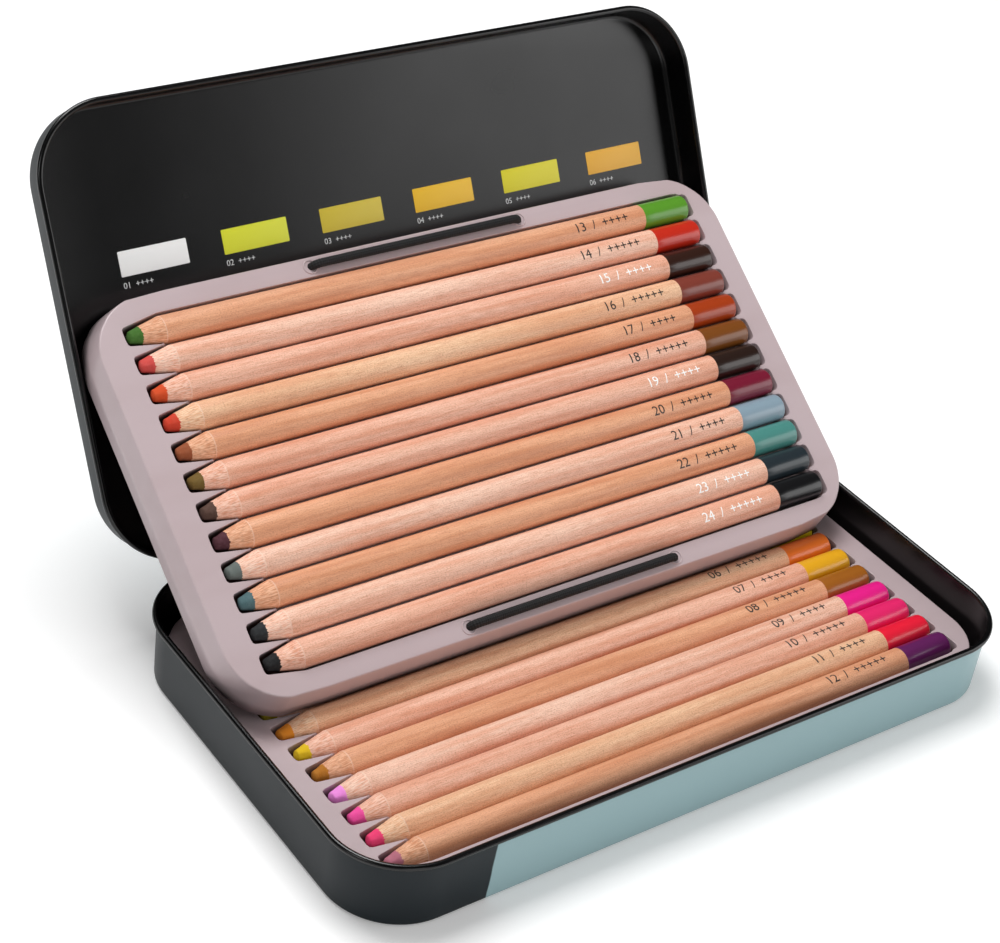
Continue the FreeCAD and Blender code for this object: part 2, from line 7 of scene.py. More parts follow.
import logging
import math
from dataclasses import dataclass
from enum import Enum

import bmesh
import bpy
import numpy as np
from mathutils import Matrix
from mathutils import Vector


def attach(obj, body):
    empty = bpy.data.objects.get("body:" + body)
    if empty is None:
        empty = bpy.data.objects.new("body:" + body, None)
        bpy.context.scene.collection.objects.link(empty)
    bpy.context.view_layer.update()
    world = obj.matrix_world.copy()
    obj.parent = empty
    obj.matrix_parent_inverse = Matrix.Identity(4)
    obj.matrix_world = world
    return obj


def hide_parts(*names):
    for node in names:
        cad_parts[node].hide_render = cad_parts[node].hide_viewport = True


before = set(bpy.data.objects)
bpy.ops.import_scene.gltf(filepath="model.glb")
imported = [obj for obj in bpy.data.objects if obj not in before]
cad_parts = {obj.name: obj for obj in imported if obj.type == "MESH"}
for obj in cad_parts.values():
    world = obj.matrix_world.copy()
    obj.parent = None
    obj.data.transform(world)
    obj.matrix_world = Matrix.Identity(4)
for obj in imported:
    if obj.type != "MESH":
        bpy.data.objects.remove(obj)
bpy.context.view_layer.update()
LOG = logging.getLogger("pastel_tin")
MM = 0.001
ROWS = 12
UV_NAME = "surface"
TURN = 2 * np.pi
BLACK = 0.0
WHITE = 255.0
# Metres: points that merge, edges that vanish and the depth of a fine bump.
MERGE_GAP = 2e-6
EMPTY_EDGE = 1e-6
BUMP = 0.0001
# Figures are drawn in millimetres; a figure's height is this share of the font's size.
FIGURE_MERGE = 1e-5
FIGURE_SHARE = 0.69
# The upper tray's lean in degrees, y and z of its front foot, and the lower tray's shift in y.
TRAY_LEAN = 33.763451
LEAN_FOOT = (7.16168, 10.83465)
LOWER_SHIFT = -0.4
Array = np.ndarray
Triple = tuple[float, float, float]
Rgb = Triple
Pair = tuple[float, float]
Item = bpy.types.Object
Material = bpy.types.Material
Socket = bpy.types.NodeSocket
Tree = bpy.types.NodeTree


def linear(colour: Rgb) -> tuple[float, float, float, float]:
    """Turn a screen colour of 0 to 255 into the linear colour that a shader socket takes.

    Args:
        colour: red, green and blue as they look on a screen.

    Returns:
        Linear red, green, blue and a full alpha.
    """
    part = np.asarray(colour, float) / 255.0
    low = part / 12.92
    high = ((part + 0.055) / 1.055) ** 2.4
    return (*np.where(part <= 0.04045, low, high).tolist(), 1.0)


def toned(colour: Rgb, towards: float, share: float) -> Rgb:
    """Move a screen colour by a share towards BLACK or WHITE."""
    return tuple(part + (towards - part) * share for part in colour)


@dataclass(frozen=True)
class Place:
    """Where a sub-assembly's own axes lie: turned about X through a pivot, then shifted."""

    turn: float = 0.0
    pivot: Pair = (0.0, 0.0)
    shift: Pair = (0.0, 0.0)

    def carry(self, points: Array) -> Array:
        """Carry points into the frame: y and z turn about the pivot, then move by the shift.

        Args:
            points: any array whose last axis is x, y, z.

        Returns:
            The same array of points in the frame's axes.
        """
        angle = math.radians(self.turn)
        across = points[..., 1] - self.pivot[0]
        above = points[..., 2] - self.pivot[1]
        moved_y = across * math.cos(angle) - above * math.sin(angle) + self.pivot[0] + self.shift[0]
        moved_z = across * math.sin(angle) + above * math.cos(angle) + self.pivot[1] + self.shift[1]
        return np.stack([points[..., 0], moved_y, moved_z], axis=-1)


def arc(centre: Pair, radius: float, start: float, end: float, steps: int) -> Array:
    """Points of a circle's arc: centre plus radius times the cosine and sine of an even run of angles.

    Args:
        centre: the circle's centre in the profile's plane.
        radius: the circle's radius.
        start: first angle in degrees.
        end: last angle in degrees.
        steps: number of equal steps.

    Returns:
        An array of steps + 1 points.
    """
    angle = np.radians(np.linspace(start, end, steps + 1))
    return np.stack([centre[0] + radius * np.cos(angle), centre[1] + radius * np.sin(angle)], axis=-1)


def rounded_outline(half: Pair, corner: float, turns: int, runs: int) -> tuple[Array, Array]:
    """A rounded rectangle, anticlockwise from above: four quarter circles with straight runs between.

    Args:
        half: half length and half width.
        corner: corner radius.
        turns: steps in each corner.
        runs: steps in each straight side.

    Returns:
        The outline's points and its outward normals.
    """
    quarter = np.linspace(0.0, np.pi / 2, turns + 1)
    angle = np.arange(4)[:, None] * np.pi / 2 + quarter[None, :]
    normals = np.stack([np.cos(angle), np.sin(angle)], axis=-1)
    signs = np.array([[1, 1], [-1, 1], [-1, -1], [1, -1]], float)
    centres = signs * (np.asarray(half) - corner)
    arcs = centres[:, None, :] + corner * normals
    following = np.roll(arcs, -1, axis=0)[:, :1]
    share = np.linspace(0.0, 1.0, runs + 1)[1:-1][None, :, None]
    sides = arcs[:, -1:] * (1 - share) + following * share
    side_normals = np.repeat(normals[:, -1:], runs - 1, axis=1)
    points = np.concatenate([arcs, sides], axis=1).reshape(-1, 2)
    return points, np.concatenate([normals, side_normals], axis=1).reshape(-1, 2)


def outline_hit(directions: Array, half: Pair, corner: float) -> tuple[Array, Array]:
    """Where rays from the centre meet a rounded rectangle: the nearest of its sides and corner circles.

    Args:
        directions: ray directions in the plane, one a row.
        half: half length and half width.
        corner: corner radius.

    Returns:
        The points met and the outline's outward normals there.
    """
    size = np.asarray(half, float)
    sign = np.sign(directions) + (directions == 0)
    steep = np.maximum(np.abs(directions), 1e-9)
    reach = size / steep
    inner = size - corner
    on_end = steep[:, 1] * reach[:, 0] <= inner[1]
    on_side = steep[:, 0] * reach[:, 1] <= inner[0]
    square = (steep**2).sum(axis=1)
    cross = (steep * inner).sum(axis=1)
    rest = (inner**2).sum() - corner**2
    around = (cross + np.sqrt(np.maximum(cross**2 - square * rest, 0.0))) / square
    length = np.where(on_end, reach[:, 0], np.where(on_side, reach[:, 1], around))
    points = steep * length[:, None]
    bent = (points - inner) / corner
    flat_end = np.array([1.0, 0.0])
    flat_side = np.array([0.0, 1.0])
    normals = np.where(on_end[:, None], flat_end, np.where(on_side[:, None], flat_side, bent))
    return points * sign, normals * sign


def carried(outline: Array, normals: Array, profile: Array) -> Array:
    """A profile carried round an outline: outline plus offset times normal, at the profile's height.

    Args:
        outline: points of the outline in plan.
        normals: outward normals at those points.
        profile: offsets and heights, one pair a row.

    Returns:
        A grid of points, outline by profile.
    """
    plan = outline[:, None, :] + profile[None, :, :1] * normals[:, None, :]
    height = np.broadcast_to(profile[None, :, 1:], (len(outline), len(profile), 1))
    return np.concatenate([plan, height], axis=-1)


def turned(profile: Array, centre: Pair, around: int) -> Array:
    """A lathe surface about an axis along X: each profile point goes round a circle of its radius.

    Args:
        profile: places along X and radii, one pair a row.
        centre: y and z of the axis.
        around: steps round the axis; the last column repeats the first.

    Returns:
        A grid of points, profile by angle, that starts and ends at the underside.
    """
    angle = np.linspace(-np.pi / 2, 1.5 * np.pi, around + 1)
    along = np.broadcast_to(profile[:, :1], (len(profile), around + 1))
    across = centre[0] + profile[:, 1:] * np.cos(angle)[None, :]
    above = centre[1] + profile[:, 1:] * np.sin(angle)[None, :]
    return np.stack([along, across, above], axis=-1)


class Piece:
    """Gathers surfaces in millimetres and turns them into one object with its place in its mesh."""

    def __init__(self, name: str) -> None:
        """Start an empty piece of that name.

        Args:
            name: the piece's name.
        """
        self.name = name
        self.points: list[Array] = []
        self.surface: list[Array] = []
        self.faces: list[list[int]] = []
        self.finish_of: list[int] = []
        self.count = 0

    def grid(
        self, points: Array, wrap: bool = False, finish: int | Array = 0, uv: Array | None = None
    ) -> None:
        """Add the quads between neighbouring points of a grid.

        Args:
            points: rows by columns by x, y, z.
            wrap: whether the last row joins the first one.
            finish: material number, for the whole grid or for each column of quads.
            uv: rows by columns by two, where a pattern follows the surface.
        """
        rows, columns = points.shape[:2]
        number = np.arange(rows * columns).reshape(rows, columns) + self.count
        following = np.roll(number, -1, axis=0) if wrap else number[1:]
        first = number if wrap else number[:-1]
        corners = [first[:, :-1], following[:, :-1], following[:, 1:], first[:, 1:]]
        self.faces += np.stack(corners, axis=-1).reshape(-1, 4).tolist()
        parts = np.broadcast_to(np.asarray(finish), first[:, :-1].shape)
        self.finish_of += parts.reshape(-1).tolist()
        self.take(points, uv)

    def cap(self, ring: Array, finish: int = 0) -> None:
        """Close a ring of points with one flat face.

        Args:
            ring: the ring's points in order.
            finish: material number.
        """
        self.faces.append((np.arange(len(ring)) + self.count).tolist())
        self.finish_of.append(finish)
        self.take(ring, None)

    def loose(self, points: Array, faces: list[list[int]], finish: int = 0) -> None:
        """Add points with ready-made faces.

        Args:
            points: one point a row.
            faces: rows of points, counted from 0.
            finish: material number.
        """
        self.faces += [[index + self.count for index in face] for face in faces]
        self.finish_of += [finish] * len(faces)
        self.take(points, None)

    def take(self, points: Array, uv: Array | None) -> None:
        """Keep points, and their places on the surface where given.

        Args:
            points: any array whose last axis is x, y, z.
            uv: places on the surface, or None for zeros.
        """
        flat = points.reshape(-1, 3)
        self.points.append(flat)
        self.surface.append(np.zeros((len(flat), 2)) if uv is None else uv.reshape(-1, 2))
        self.count += len(flat)

    def build(self, place: Place, materials: list[Material], sharp: float = 38.0) -> Item:
        """Make the object: doubles merged, faces outward, soft shading with crisp edges.

        Args:
            place: where the piece's own axes lie in the frame.
            materials: materials by their number in the faces.
            sharp: edges that turn by more than this many degrees stay crisp.

        Returns:
            The new object, at the origin.
        """
        mesh = bpy.data.meshes.new(self.name)
        points = place.carry(np.concatenate(self.points)) * MM
        mesh.from_pydata(points.tolist(), [], self.faces)
        for material in materials:
            mesh.materials.append(material)
        mesh.polygons.foreach_set("material_index", np.asarray(self.finish_of, np.int32))
        mesh.polygons.foreach_set("use_smooth", np.ones(len(self.faces), bool))
        corner = np.zeros(len(mesh.loops), np.int32)
        mesh.loops.foreach_get("vertex_index", corner)
        layer = mesh.uv_layers.new(name=UV_NAME)
        layer.data.foreach_set("uv", np.concatenate(self.surface)[corner].astype(np.float32).ravel())
        merged = bmesh.new()
        merged.from_mesh(mesh)
        bmesh.ops.remove_doubles(merged, verts=merged.verts, dist=MERGE_GAP)
        bmesh.ops.dissolve_degenerate(merged, edges=merged.edges, dist=EMPTY_EDGE)
        bmesh.ops.recalc_face_normals(merged, faces=merged.faces)
        merged.to_mesh(mesh)
        merged.free()
        mesh.set_sharp_from_angle(angle=math.radians(sharp))
        item = bpy.data.objects.new(self.name, mesh)
        bpy.context.scene.collection.objects.link(item)
        return item


def settle(item: Item, body: str, slot: str | None, *nodes: str) -> Item:
    """Let a piece ride on its body and stand for its CAD nodes.

    Args:
        item: the finished piece.
        body: the CAD body that carries it.
        slot: the record's material slot, if it has one; not used.
        nodes: the CAD nodes that it stands for.

    Returns:
        The same piece.
    """
    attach(item, body)
    if nodes:
        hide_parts(*nodes)
    LOG.info("%s rides on %s with %d faces", item.name, body, len(item.data.polygons))
    return item


class Nodes:
    """Adds nodes to one shader tree and links them."""

    NOISE_ROUGHNESS = 0.55

    def __init__(self, tree: Tree) -> None:
        """Work on that tree."""
        self.tree = tree

    def add(self, kind: str, **settings: object) -> bpy.types.Node:
        """Add one node and set its own options.

        Args:
            kind: Blender's name of the node.
            settings: the node's options by name.

        Returns:
            The new node.
        """
        node = self.tree.nodes.new(kind)
        for name, value in settings.items():
            setattr(node, name, value)
        return node

    def put(self, socket: Socket, value: object) -> None:
        """Link a socket to another one, or set its plain value.

        Args:
            socket: the input to fill.
            value: another node's output, or a plain value.
        """
        if isinstance(value, Socket):
            self.tree.links.new(value, socket)
        else:
            socket.default_value = value

    def fill(self, node: bpy.types.Node, values: dict[int | str, object]) -> bpy.types.NodeOutputs:
        """Fill several inputs of a node.

        Args:
            node: the node.
            values: plain values or links by the input's name or number.

        Returns:
            The node's outputs.
        """
        for socket, value in values.items():
            self.put(node.inputs[socket], value)
        return node.outputs

    def math(self, operation: str, first: object, second: object = 0.0) -> Socket:
        """One sum on two values."""
        return self.fill(self.add("ShaderNodeMath", operation=operation), {0: first, 1: second})[0]

    def span(self, value: object, low: float, high: float) -> Socket:
        """A smooth step from 0 at low to 1 at high."""
        node = self.add("ShaderNodeMapRange", interpolation_type="SMOOTHSTEP")
        return self.fill(node, {"Value": value, "From Min": low, "From Max": high})["Result"]

    def mix(self, share: object, first: object, second: object) -> Socket:
        """Blend two colours by a share."""
        return self.fill(self.add("ShaderNodeMix", data_type="RGBA"), {0: share, 6: first, 7: second})[2]

    def blend(self, share: object, first: object, second: object) -> Socket:
        """Blend two plain values by a share."""
        return self.fill(self.add("ShaderNodeMix", data_type="FLOAT"), {0: share, 2: first, 3: second})[0]

    def stretch(self, vector: object, scale: Triple, shift: Triple = (0.0, 0.0, 0.0)) -> Socket:
        """Scale and shift a pattern's coordinates."""
        values = {"Vector": vector, "Scale": scale, "Location": shift}
        return self.fill(self.add("ShaderNodeMapping"), values)["Vector"]

    def noise(self, vector: object, scale: float, detail: float) -> Socket:
        """Fractal noise between 0 and 1."""
        values = {"Vector": vector, "Scale": scale, "Detail": detail, "Roughness": self.NOISE_ROUGHNESS}
        return self.fill(self.add("ShaderNodeTexNoise"), values)["Fac"]

    def split(self, vector: object) -> bpy.types.NodeOutputs:
        """The three parts of a vector."""
        return self.fill(self.add("ShaderNodeSeparateXYZ"), {0: vector})

    def bump(self, height: object, strength: float, distance: float) -> Socket:
        """A normal that is tilted by a height."""
        values = {"Height": height, "Strength": strength, "Distance": distance}
        return self.fill(self.add("ShaderNodeBump"), values)["Normal"]

    def grouped(self, tree: Tree, **values: object) -> bpy.types.NodeOutputs:
        """Place a shared group with its own values."""
        return self.fill(self.add("ShaderNodeGroup", node_tree=tree), values)


class Shared:
    """The node groups that more than one finish uses, each built once."""

    GRAIN_OUTPUTS = {"Color": "NodeSocketColor", "Height": "NodeSocketFloat"}
    FIBRE_TONE = (200, 132, 98)
    FLECK_TONE = (164, 98, 66)

    def __init__(self) -> None:
        """Build every shared group."""
        self.wood = self.wood_grain()
        self.chalk = self.chalk_grain()
        self.skin = self.fine_skin()

    @staticmethod
    def start(name: str, inputs: dict[str, str], outputs: dict[str, str]) -> tuple[Nodes, object, object]:
        """Make an empty group with named sockets.

        Args:
            name: the group's name.
            inputs: socket kinds by their names.
            outputs: socket kinds by their names.

        Returns:
            The node helper, the group's input node and its output node.
        """
        tree = bpy.data.node_groups.new(name, "ShaderNodeTree")
        for label, kind in inputs.items():
            tree.interface.new_socket(label, in_out="INPUT", socket_type=kind)
        for label, kind in outputs.items():
            tree.interface.new_socket(label, in_out="OUTPUT", socket_type=kind)
        nodes = Nodes(tree)
        return nodes, nodes.add("NodeGroupInput"), nodes.add("NodeGroupOutput")

    def wood_grain(self) -> Tree:
        """Cedar: soft streaks along the pencil, fine fibres and short dark flecks.

        Returns:
            The group's tree.
        """
        inputs = {"Vector": "NodeSocketVector", "Light": "NodeSocketColor", "Dark": "NodeSocketColor"}
        nodes, given, made = self.start("wood_grain", inputs, self.GRAIN_OUTPUTS)
        vector = given.outputs["Vector"]
        streak = nodes.noise(nodes.stretch(vector, (4.0, 9.0, 1.0)), 1.0, 3.0)
        fibre = nodes.noise(nodes.stretch(vector, (50.0, 150.0, 1.0)), 1.0, 3.0)
        fleck = nodes.noise(nodes.stretch(vector, (420.0, 130.0, 1.0), (7.0, 3.0, 0.0)), 1.0, 2.0)
        marks = nodes.span(fleck, 0.46, 0.74)
        body = nodes.mix(nodes.span(streak, 0.3, 0.75), given.outputs["Light"], given.outputs["Dark"])
        thread = nodes.math("MULTIPLY", nodes.span(fibre, 0.4, 0.72), 0.6)
        body = nodes.mix(thread, body, linear(self.FIBRE_TONE))
        body = nodes.mix(nodes.math("MULTIPLY", marks, 0.55), body, linear(self.FLECK_TONE))
        nodes.fill(made, {"Color": body, "Height": nodes.math("SUBTRACT", fibre, marks)})
        return nodes.tree

    def chalk_grain(self) -> Tree:
        """Pressed pastel: a dusty surface, paler in the worn places and darker in the pits.

        Returns:
            The group's tree.
        """
        inputs = {"Vector": "NodeSocketVector", "Body": "NodeSocketColor", "Dust": "NodeSocketColor"}
        nodes, given, made = self.start("chalk_grain", inputs, self.GRAIN_OUTPUTS)
        coarse = nodes.noise(given.outputs["Vector"], 900.0, 4.0)
        fine = nodes.noise(given.outputs["Vector"], 4200.0, 3.0)
        share = nodes.math("MULTIPLY", nodes.span(coarse, 0.4, 0.75), 0.3)
        colour = nodes.mix(share, given.outputs["Body"], given.outputs["Dust"])
        nodes.fill(made, {"Color": colour, "Height": nodes.math("ADD", coarse, fine)})
        return nodes.tree

    def fine_skin(self) -> Tree:
        """A lacquered or moulded skin: faint orange peel, and a roughness that wanders a little.

        Returns:
            The group's tree.
        """
        inputs = {"Vector": "NodeSocketVector", "Scale": "NodeSocketFloat", "Roughness": "NodeSocketFloat"}
        outputs = {"Roughness": "NodeSocketFloat", "Height": "NodeSocketFloat", "Mask": "NodeSocketFloat"}
        nodes, given, made = self.start("fine_skin", inputs, outputs)
        scaled = nodes.add("ShaderNodeVectorMath", operation="SCALE")
        nodes.fill(scaled, {0: given.outputs["Vector"], "Scale": given.outputs["Scale"]})
        peel = nodes.noise(scaled.outputs[0], 1.0, 2.0)
        cloud = nodes.noise(given.outputs["Vector"], 45.0, 3.0)
        drift = nodes.math("MULTIPLY", nodes.math("SUBTRACT", cloud, 0.5), 0.08)
        rough = nodes.math("ADD", given.outputs["Roughness"], drift)
        nodes.fill(made, {"Roughness": rough, "Height": peel, "Mask": cloud})
        return nodes.tree


def new_material(name: str) -> tuple[Material, Nodes, bpy.types.Node]:
    """Start a node material.

    Args:
        name: the material's name.

    Returns:
        The material, its node helper and its Principled shader.
    """
    material = bpy.data.materials.new(name)
    material.use_nodes = True
    nodes = Nodes(material.node_tree)
    return material, nodes, material.node_tree.nodes["Principled BSDF"]


def object_coordinates(nodes: Nodes) -> Socket:
    """The piece's own place, which is the frame's."""
    return nodes.add("ShaderNodeTexCoord").outputs["Object"]


def surface_coordinates(nodes: Nodes) -> Socket:
    """The place on the piece's own surface."""
    return nodes.add("ShaderNodeUVMap", uv_map=UV_NAME).outputs["UV"]


@dataclass(frozen=True)
class Enamel:
    """Sprayed tin: one colour, or two that meet at a line across the sheet."""

    name: str
    colour: Rgb
    second: Rgb | None = None
    roughness: float = 0.3
    shine: float = 0.5
    split_x: float = -67.7
    split_lean: float = 0.0
    split_wander: float = 0.6
    split_blur: float = 0.4

    def make(self, shared: Shared) -> Material:
        """Make the material: a faintly clouded colour, and the second one past the split line.

        Args:
            shared: the shared node groups.

        Returns:
            The material.
        """
        material, nodes, shader = new_material(self.name)
        place = object_coordinates(nodes)
        skin = nodes.grouped(shared.skin, Vector=place, Scale=2600.0, Roughness=self.roughness)
        shade = nodes.math("MULTIPLY", skin["Mask"], 0.35)
        colour = nodes.mix(shade, linear(self.colour), linear(toned(self.colour, BLACK, 0.14)))
        if self.second is not None:
            parts = nodes.split(place)
            lean = nodes.math("MULTIPLY", parts["Z"], -self.split_lean)
            wander = nodes.math("MULTIPLY", nodes.noise(place, 160.0, 1.0), self.split_wander * MM)
            across = nodes.math("ADD", nodes.math("ADD", parts["X"], lean), wander)
            second = nodes.mix(shade, linear(self.second), linear(toned(self.second, BLACK, 0.07)))
            start = self.split_x * MM
            past = nodes.span(across, start, start + self.split_blur * MM)
            colour = nodes.mix(past, colour, second)
        normal = nodes.bump(skin["Height"], 0.06, BUMP)
        values = {"Base Color": colour, "Roughness": skin["Roughness"], "Normal": normal}
        nodes.fill(shader, values | {"Specular IOR Level": self.shine})
        return material


@dataclass(frozen=True)
class FormedPlastic:
    """Vacuum-formed sheet for the trays: satin and greyer in streaks, with painted shade that darkens its
    channels by depth, most at their ends.
    """

    name: str = "tray_plastic"
    colour: Rgb = (194, 176, 179)
    drawn: Rgb = (178, 156, 157)
    roughness: float = 0.3
    painted_shade_colour: Rgb = (74, 50, 46)

    def make(self, shared: Shared) -> Material:
        """Make the material.

        Args:
            shared: the shared node groups.

        Returns:
            The material.
        """
        material, nodes, shader = new_material(self.name)
        place = object_coordinates(nodes)
        skin = nodes.grouped(shared.skin, Vector=place, Scale=1500.0, Roughness=self.roughness)
        streak = nodes.noise(nodes.stretch(place, (20.0, 60.0, 60.0)), 1.0, 3.0)
        share = nodes.math("MULTIPLY", nodes.span(streak, 0.35, 0.75), 0.4)
        colour = nodes.mix(share, linear(self.colour), linear(self.drawn))
        # Painted shade: darker with depth under the flange, fully near the slot and far ends and less
        # along the beds.
        drawn = nodes.split(surface_coordinates(nodes))
        thin = nodes.math("MULTIPLY", nodes.span(drawn["X"], 0.02, 0.3), drawn["Y"])
        colour = nodes.mix(thin, colour, linear(self.painted_shade_colour))
        normal = nodes.bump(skin["Height"], 0.08, BUMP)
        nodes.fill(shader, {"Base Color": colour, "Roughness": skin["Roughness"], "Normal": normal})
        return material


@dataclass(frozen=True)
class HingeSteel:
    """Drawn steel wire with fine lines along it."""

    name: str = "hinge_steel"
    colour: Rgb = (168, 168, 166)
    worn: Rgb = (112, 112, 110)

    def make(self) -> Material:
        """Make the material.

        Returns:
            The material.
        """
        material, nodes, shader = new_material(self.name)
        place = object_coordinates(nodes)
        lines = nodes.noise(nodes.stretch(place, (150.0, 6000.0, 6000.0)), 1.0, 2.0)
        colour = nodes.mix(lines, linear(self.colour), linear(self.worn))
        normal = nodes.bump(lines, 0.1, BUMP / 2)
        values = {"Base Color": colour, "Roughness": nodes.span(lines, -0.6, 1.6), "Normal": normal}
        nodes.fill(shader, values | {"Metallic": 1.0})
        return material


@dataclass(frozen=True)
class Elastic:
    """Braided black elastic: two families of strands that cross round the cord, their crests paler, partly
    from wear and partly as a painted sheen.
    """

    name: str = "braided_elastic"
    colour: Rgb = (14, 14, 16)
    worn: Rgb = (48, 48, 50)
    roughness: float = 0.8
    strands_along: float = 62.0
    strands_around: float = 6.0

    def make(self) -> Material:
        """Make the material.

        Returns:
            The material.
        """
        material, nodes, shader = new_material(self.name)
        parts = nodes.split(surface_coordinates(nodes))
        along = nodes.math("MULTIPLY", parts["X"], TURN * self.strands_along)
        around = nodes.math("MULTIPLY", parts["Y"], TURN * self.strands_around)
        right = nodes.math("SINE", nodes.math("ADD", along, around))
        left = nodes.math("SINE", nodes.math("SUBTRACT", along, around))
        weave = nodes.math("MULTIPLY", right, left)
        fibre = nodes.noise(nodes.stretch(surface_coordinates(nodes), (900.0, 60.0, 1.0)), 1.0, 2.0)
        # Paler on the strands' crests: partly wear, partly a painted sheen.
        share = nodes.math("MULTIPLY", nodes.span(weave, -0.2, 1.0), fibre)
        colour = nodes.mix(share, linear(self.colour), linear(self.worn))
        normal = nodes.bump(weave, 0.5, 1.5 * BUMP)
        nodes.fill(shader, {"Base Color": colour, "Normal": normal, "Roughness": self.roughness})
        return material


@dataclass(frozen=True)
class Print:
    """Printing ink, slightly uneven in its cover."""

    name: str
    colour: Rgb
    roughness: float

    def make(self, shared: Shared) -> Material:
        """Make the material.

        Args:
            shared: the shared node groups.

        Returns:
            The material.
        """
        material, nodes, shader = new_material(self.name)
        place = object_coordinates(nodes)
        skin = nodes.grouped(shared.skin, Vector=place, Scale=3000.0, Roughness=self.roughness)
        pale = toned(self.colour, WHITE, 0.12)
        colour = nodes.mix(skin["Mask"], linear(self.colour), linear(pale))
        nodes.fill(shader, {"Base Color": colour, "Roughness": skin["Roughness"]})
        return material


class WoodTone(Enum):
    """The tones that neighbouring cedar casings differ by, pale and dark streaks."""

    PINK = ((250, 202, 178), (230, 160, 130))
    TAN = ((250, 210, 172), (232, 172, 132))
    BROWN = ((242, 184, 146), (214, 144, 104))
    PALE = ((254, 216, 194), (240, 178, 150))


@dataclass(frozen=True)
class PencilFinish:
    """One pencil's own look: its pastel, its dipped end and its wood."""

    pastel: Rgb
    dip: Rgb
    wood: WoodTone
    pale_print: bool = False

    SCRATCH = (150, 96, 72)
    CUT_EDGE = (250, 232, 214)
    CONE_ROUGH = 0.75
    BARREL_ROUGH = 0.36
    DIP_ROUGH = 0.3
    CHALK_ROUGH = 0.9

    def casing(self, name: str, sizes: "PencilSizes", shared: Shared) -> Material:
        """Make the casing's material: rough cone, lacquered barrel and glossy dipped end by length.

        Args:
            name: the material's name.
            sizes: the pencil's sizes.
            shared: the shared node groups.

        Returns:
            The material.
        """
        material, nodes, shader = new_material(name)
        surface = surface_coordinates(nodes)
        parts = nodes.split(surface)
        along = nodes.math("MULTIPLY", parts["X"], sizes.uv_length)
        light, dark = self.wood.value
        grain = nodes.grouped(shared.wood, Vector=surface, Light=linear(light), Dark=linear(dark))
        cone_light = toned(light, WHITE, 0.1)
        cut = nodes.noise(nodes.stretch(surface, (90.0, 60.0, 1.0)), 1.0, 3.0)
        cone_colour = nodes.mix(nodes.span(cut, 0.35, 0.65), linear(cone_light), linear(dark))
        scratch = nodes.noise(nodes.stretch(surface, (170.0, 130.0, 1.0), (2.0, 5.0, 0.0)), 1.0, 1.0)
        scratch = nodes.math("MULTIPLY", nodes.span(scratch, 0.54, 0.7), 0.48)
        cone_colour = nodes.mix(scratch, cone_colour, linear(self.SCRATCH))
        on_barrel = nodes.span(along, sizes.cone - 0.15, sizes.cone + 0.1)
        colour = nodes.mix(on_barrel, cone_colour, grain["Color"])
        ring = nodes.math("ABSOLUTE", nodes.math("SUBTRACT", along, sizes.cone + 0.05))
        ring = nodes.math("MULTIPLY", nodes.span(ring, 0.22, 0.05), 0.28)
        colour = nodes.mix(ring, colour, linear(self.CUT_EDGE))
        jag = nodes.noise(nodes.stretch(surface, (40.0, 26.0, 1.0)), 1.0, 2.0)
        edge = nodes.math("SUBTRACT", along, nodes.math("MULTIPLY", jag, 1.6))
        stain = nodes.span(edge, sizes.bare - 0.6, sizes.bare - 0.75)
        colour = nodes.mix(stain, colour, linear(self.pastel))
        dipped = nodes.span(along, sizes.dip_start, sizes.dip_start + 0.12)
        colour = nodes.mix(dipped, colour, linear(self.dip))
        bare_rough = nodes.blend(on_barrel, self.CONE_ROUGH, self.BARREL_ROUGH)
        height = nodes.math("MULTIPLY", grain["Height"], nodes.math("SUBTRACT", 1.0, dipped))
        values = {
            "Base Color": colour,
            "Roughness": nodes.blend(dipped, bare_rough, self.DIP_ROUGH),
            "Coat Weight": nodes.math("MULTIPLY", dipped, 0.35),
            "Coat Roughness": 0.14,
            "Specular IOR Level": 0.4,
            "Normal": nodes.bump(height, 0.25, BUMP),
        }
        nodes.fill(shader, values)
        return material

    def core(self, name: str, shared: Shared) -> Material:
        """Make the pastel's chalky material.

        Args:
            name: the material's name.
            shared: the shared node groups.

        Returns:
            The material.
        """
        material, nodes, shader = new_material(name)
        dust = toned(self.pastel, WHITE, 0.16)
        place = object_coordinates(nodes)
        chalk = nodes.grouped(shared.chalk, Vector=place, Body=linear(self.pastel), Dust=linear(dust))
        normal = nodes.bump(chalk["Height"], 0.4, 2 * BUMP)
        nodes.fill(shader, {"Base Color": chalk["Color"], "Normal": normal, "Roughness": self.CHALK_ROUGH})
        return material


@dataclass(frozen=True)
class TinSizes:
    """The drawn tin, measured over its rolled rim."""

    length: float = 201.6
    width: float = 116.0
    corner: float = 20.0
    base_height: float = 19.4
    lid_depth: float = 9.8
    sheet: float = 0.4
    floor_round: float = 0.9
    lid_round: float = 2.0
    reach: float = 1.2
    rim_gap: float = 0.3
    open_angle: float = 119.0
    hinge_reach: float = 1.5
    hinge_spacing: float = 120.0
    knuckle_radius: float = 1.2
    bore_radius: float = 0.68
    base_knuckle: float = 5.0
    lid_knuckle: float = 8.0
    knuckle_gap: float = 0.3
    knuckle_soft: float = 0.15
    web_gap: float = 0.05

    @property
    def roll(self) -> float:
        """Radius of the rolled rim's round."""
        return (self.reach + self.sheet) / 2

    @property
    def hinge(self) -> Pair:
        """Y and z of the hinge's axis."""
        return self.width / 2 + self.hinge_reach, self.base_height + self.rim_gap / 2

    @property
    def lid_rim(self) -> float:
        """Height of the closed lid's rim."""
        return self.base_height + self.rim_gap

    @property
    def lid_top(self) -> float:
        """Height of the closed lid's top."""
        return self.lid_rim + self.lid_depth

    @property
    def lid_place(self) -> Place:
        """The lid's open place, swung back about the hinge."""
        return Place(turn=-self.open_angle, pivot=self.hinge)


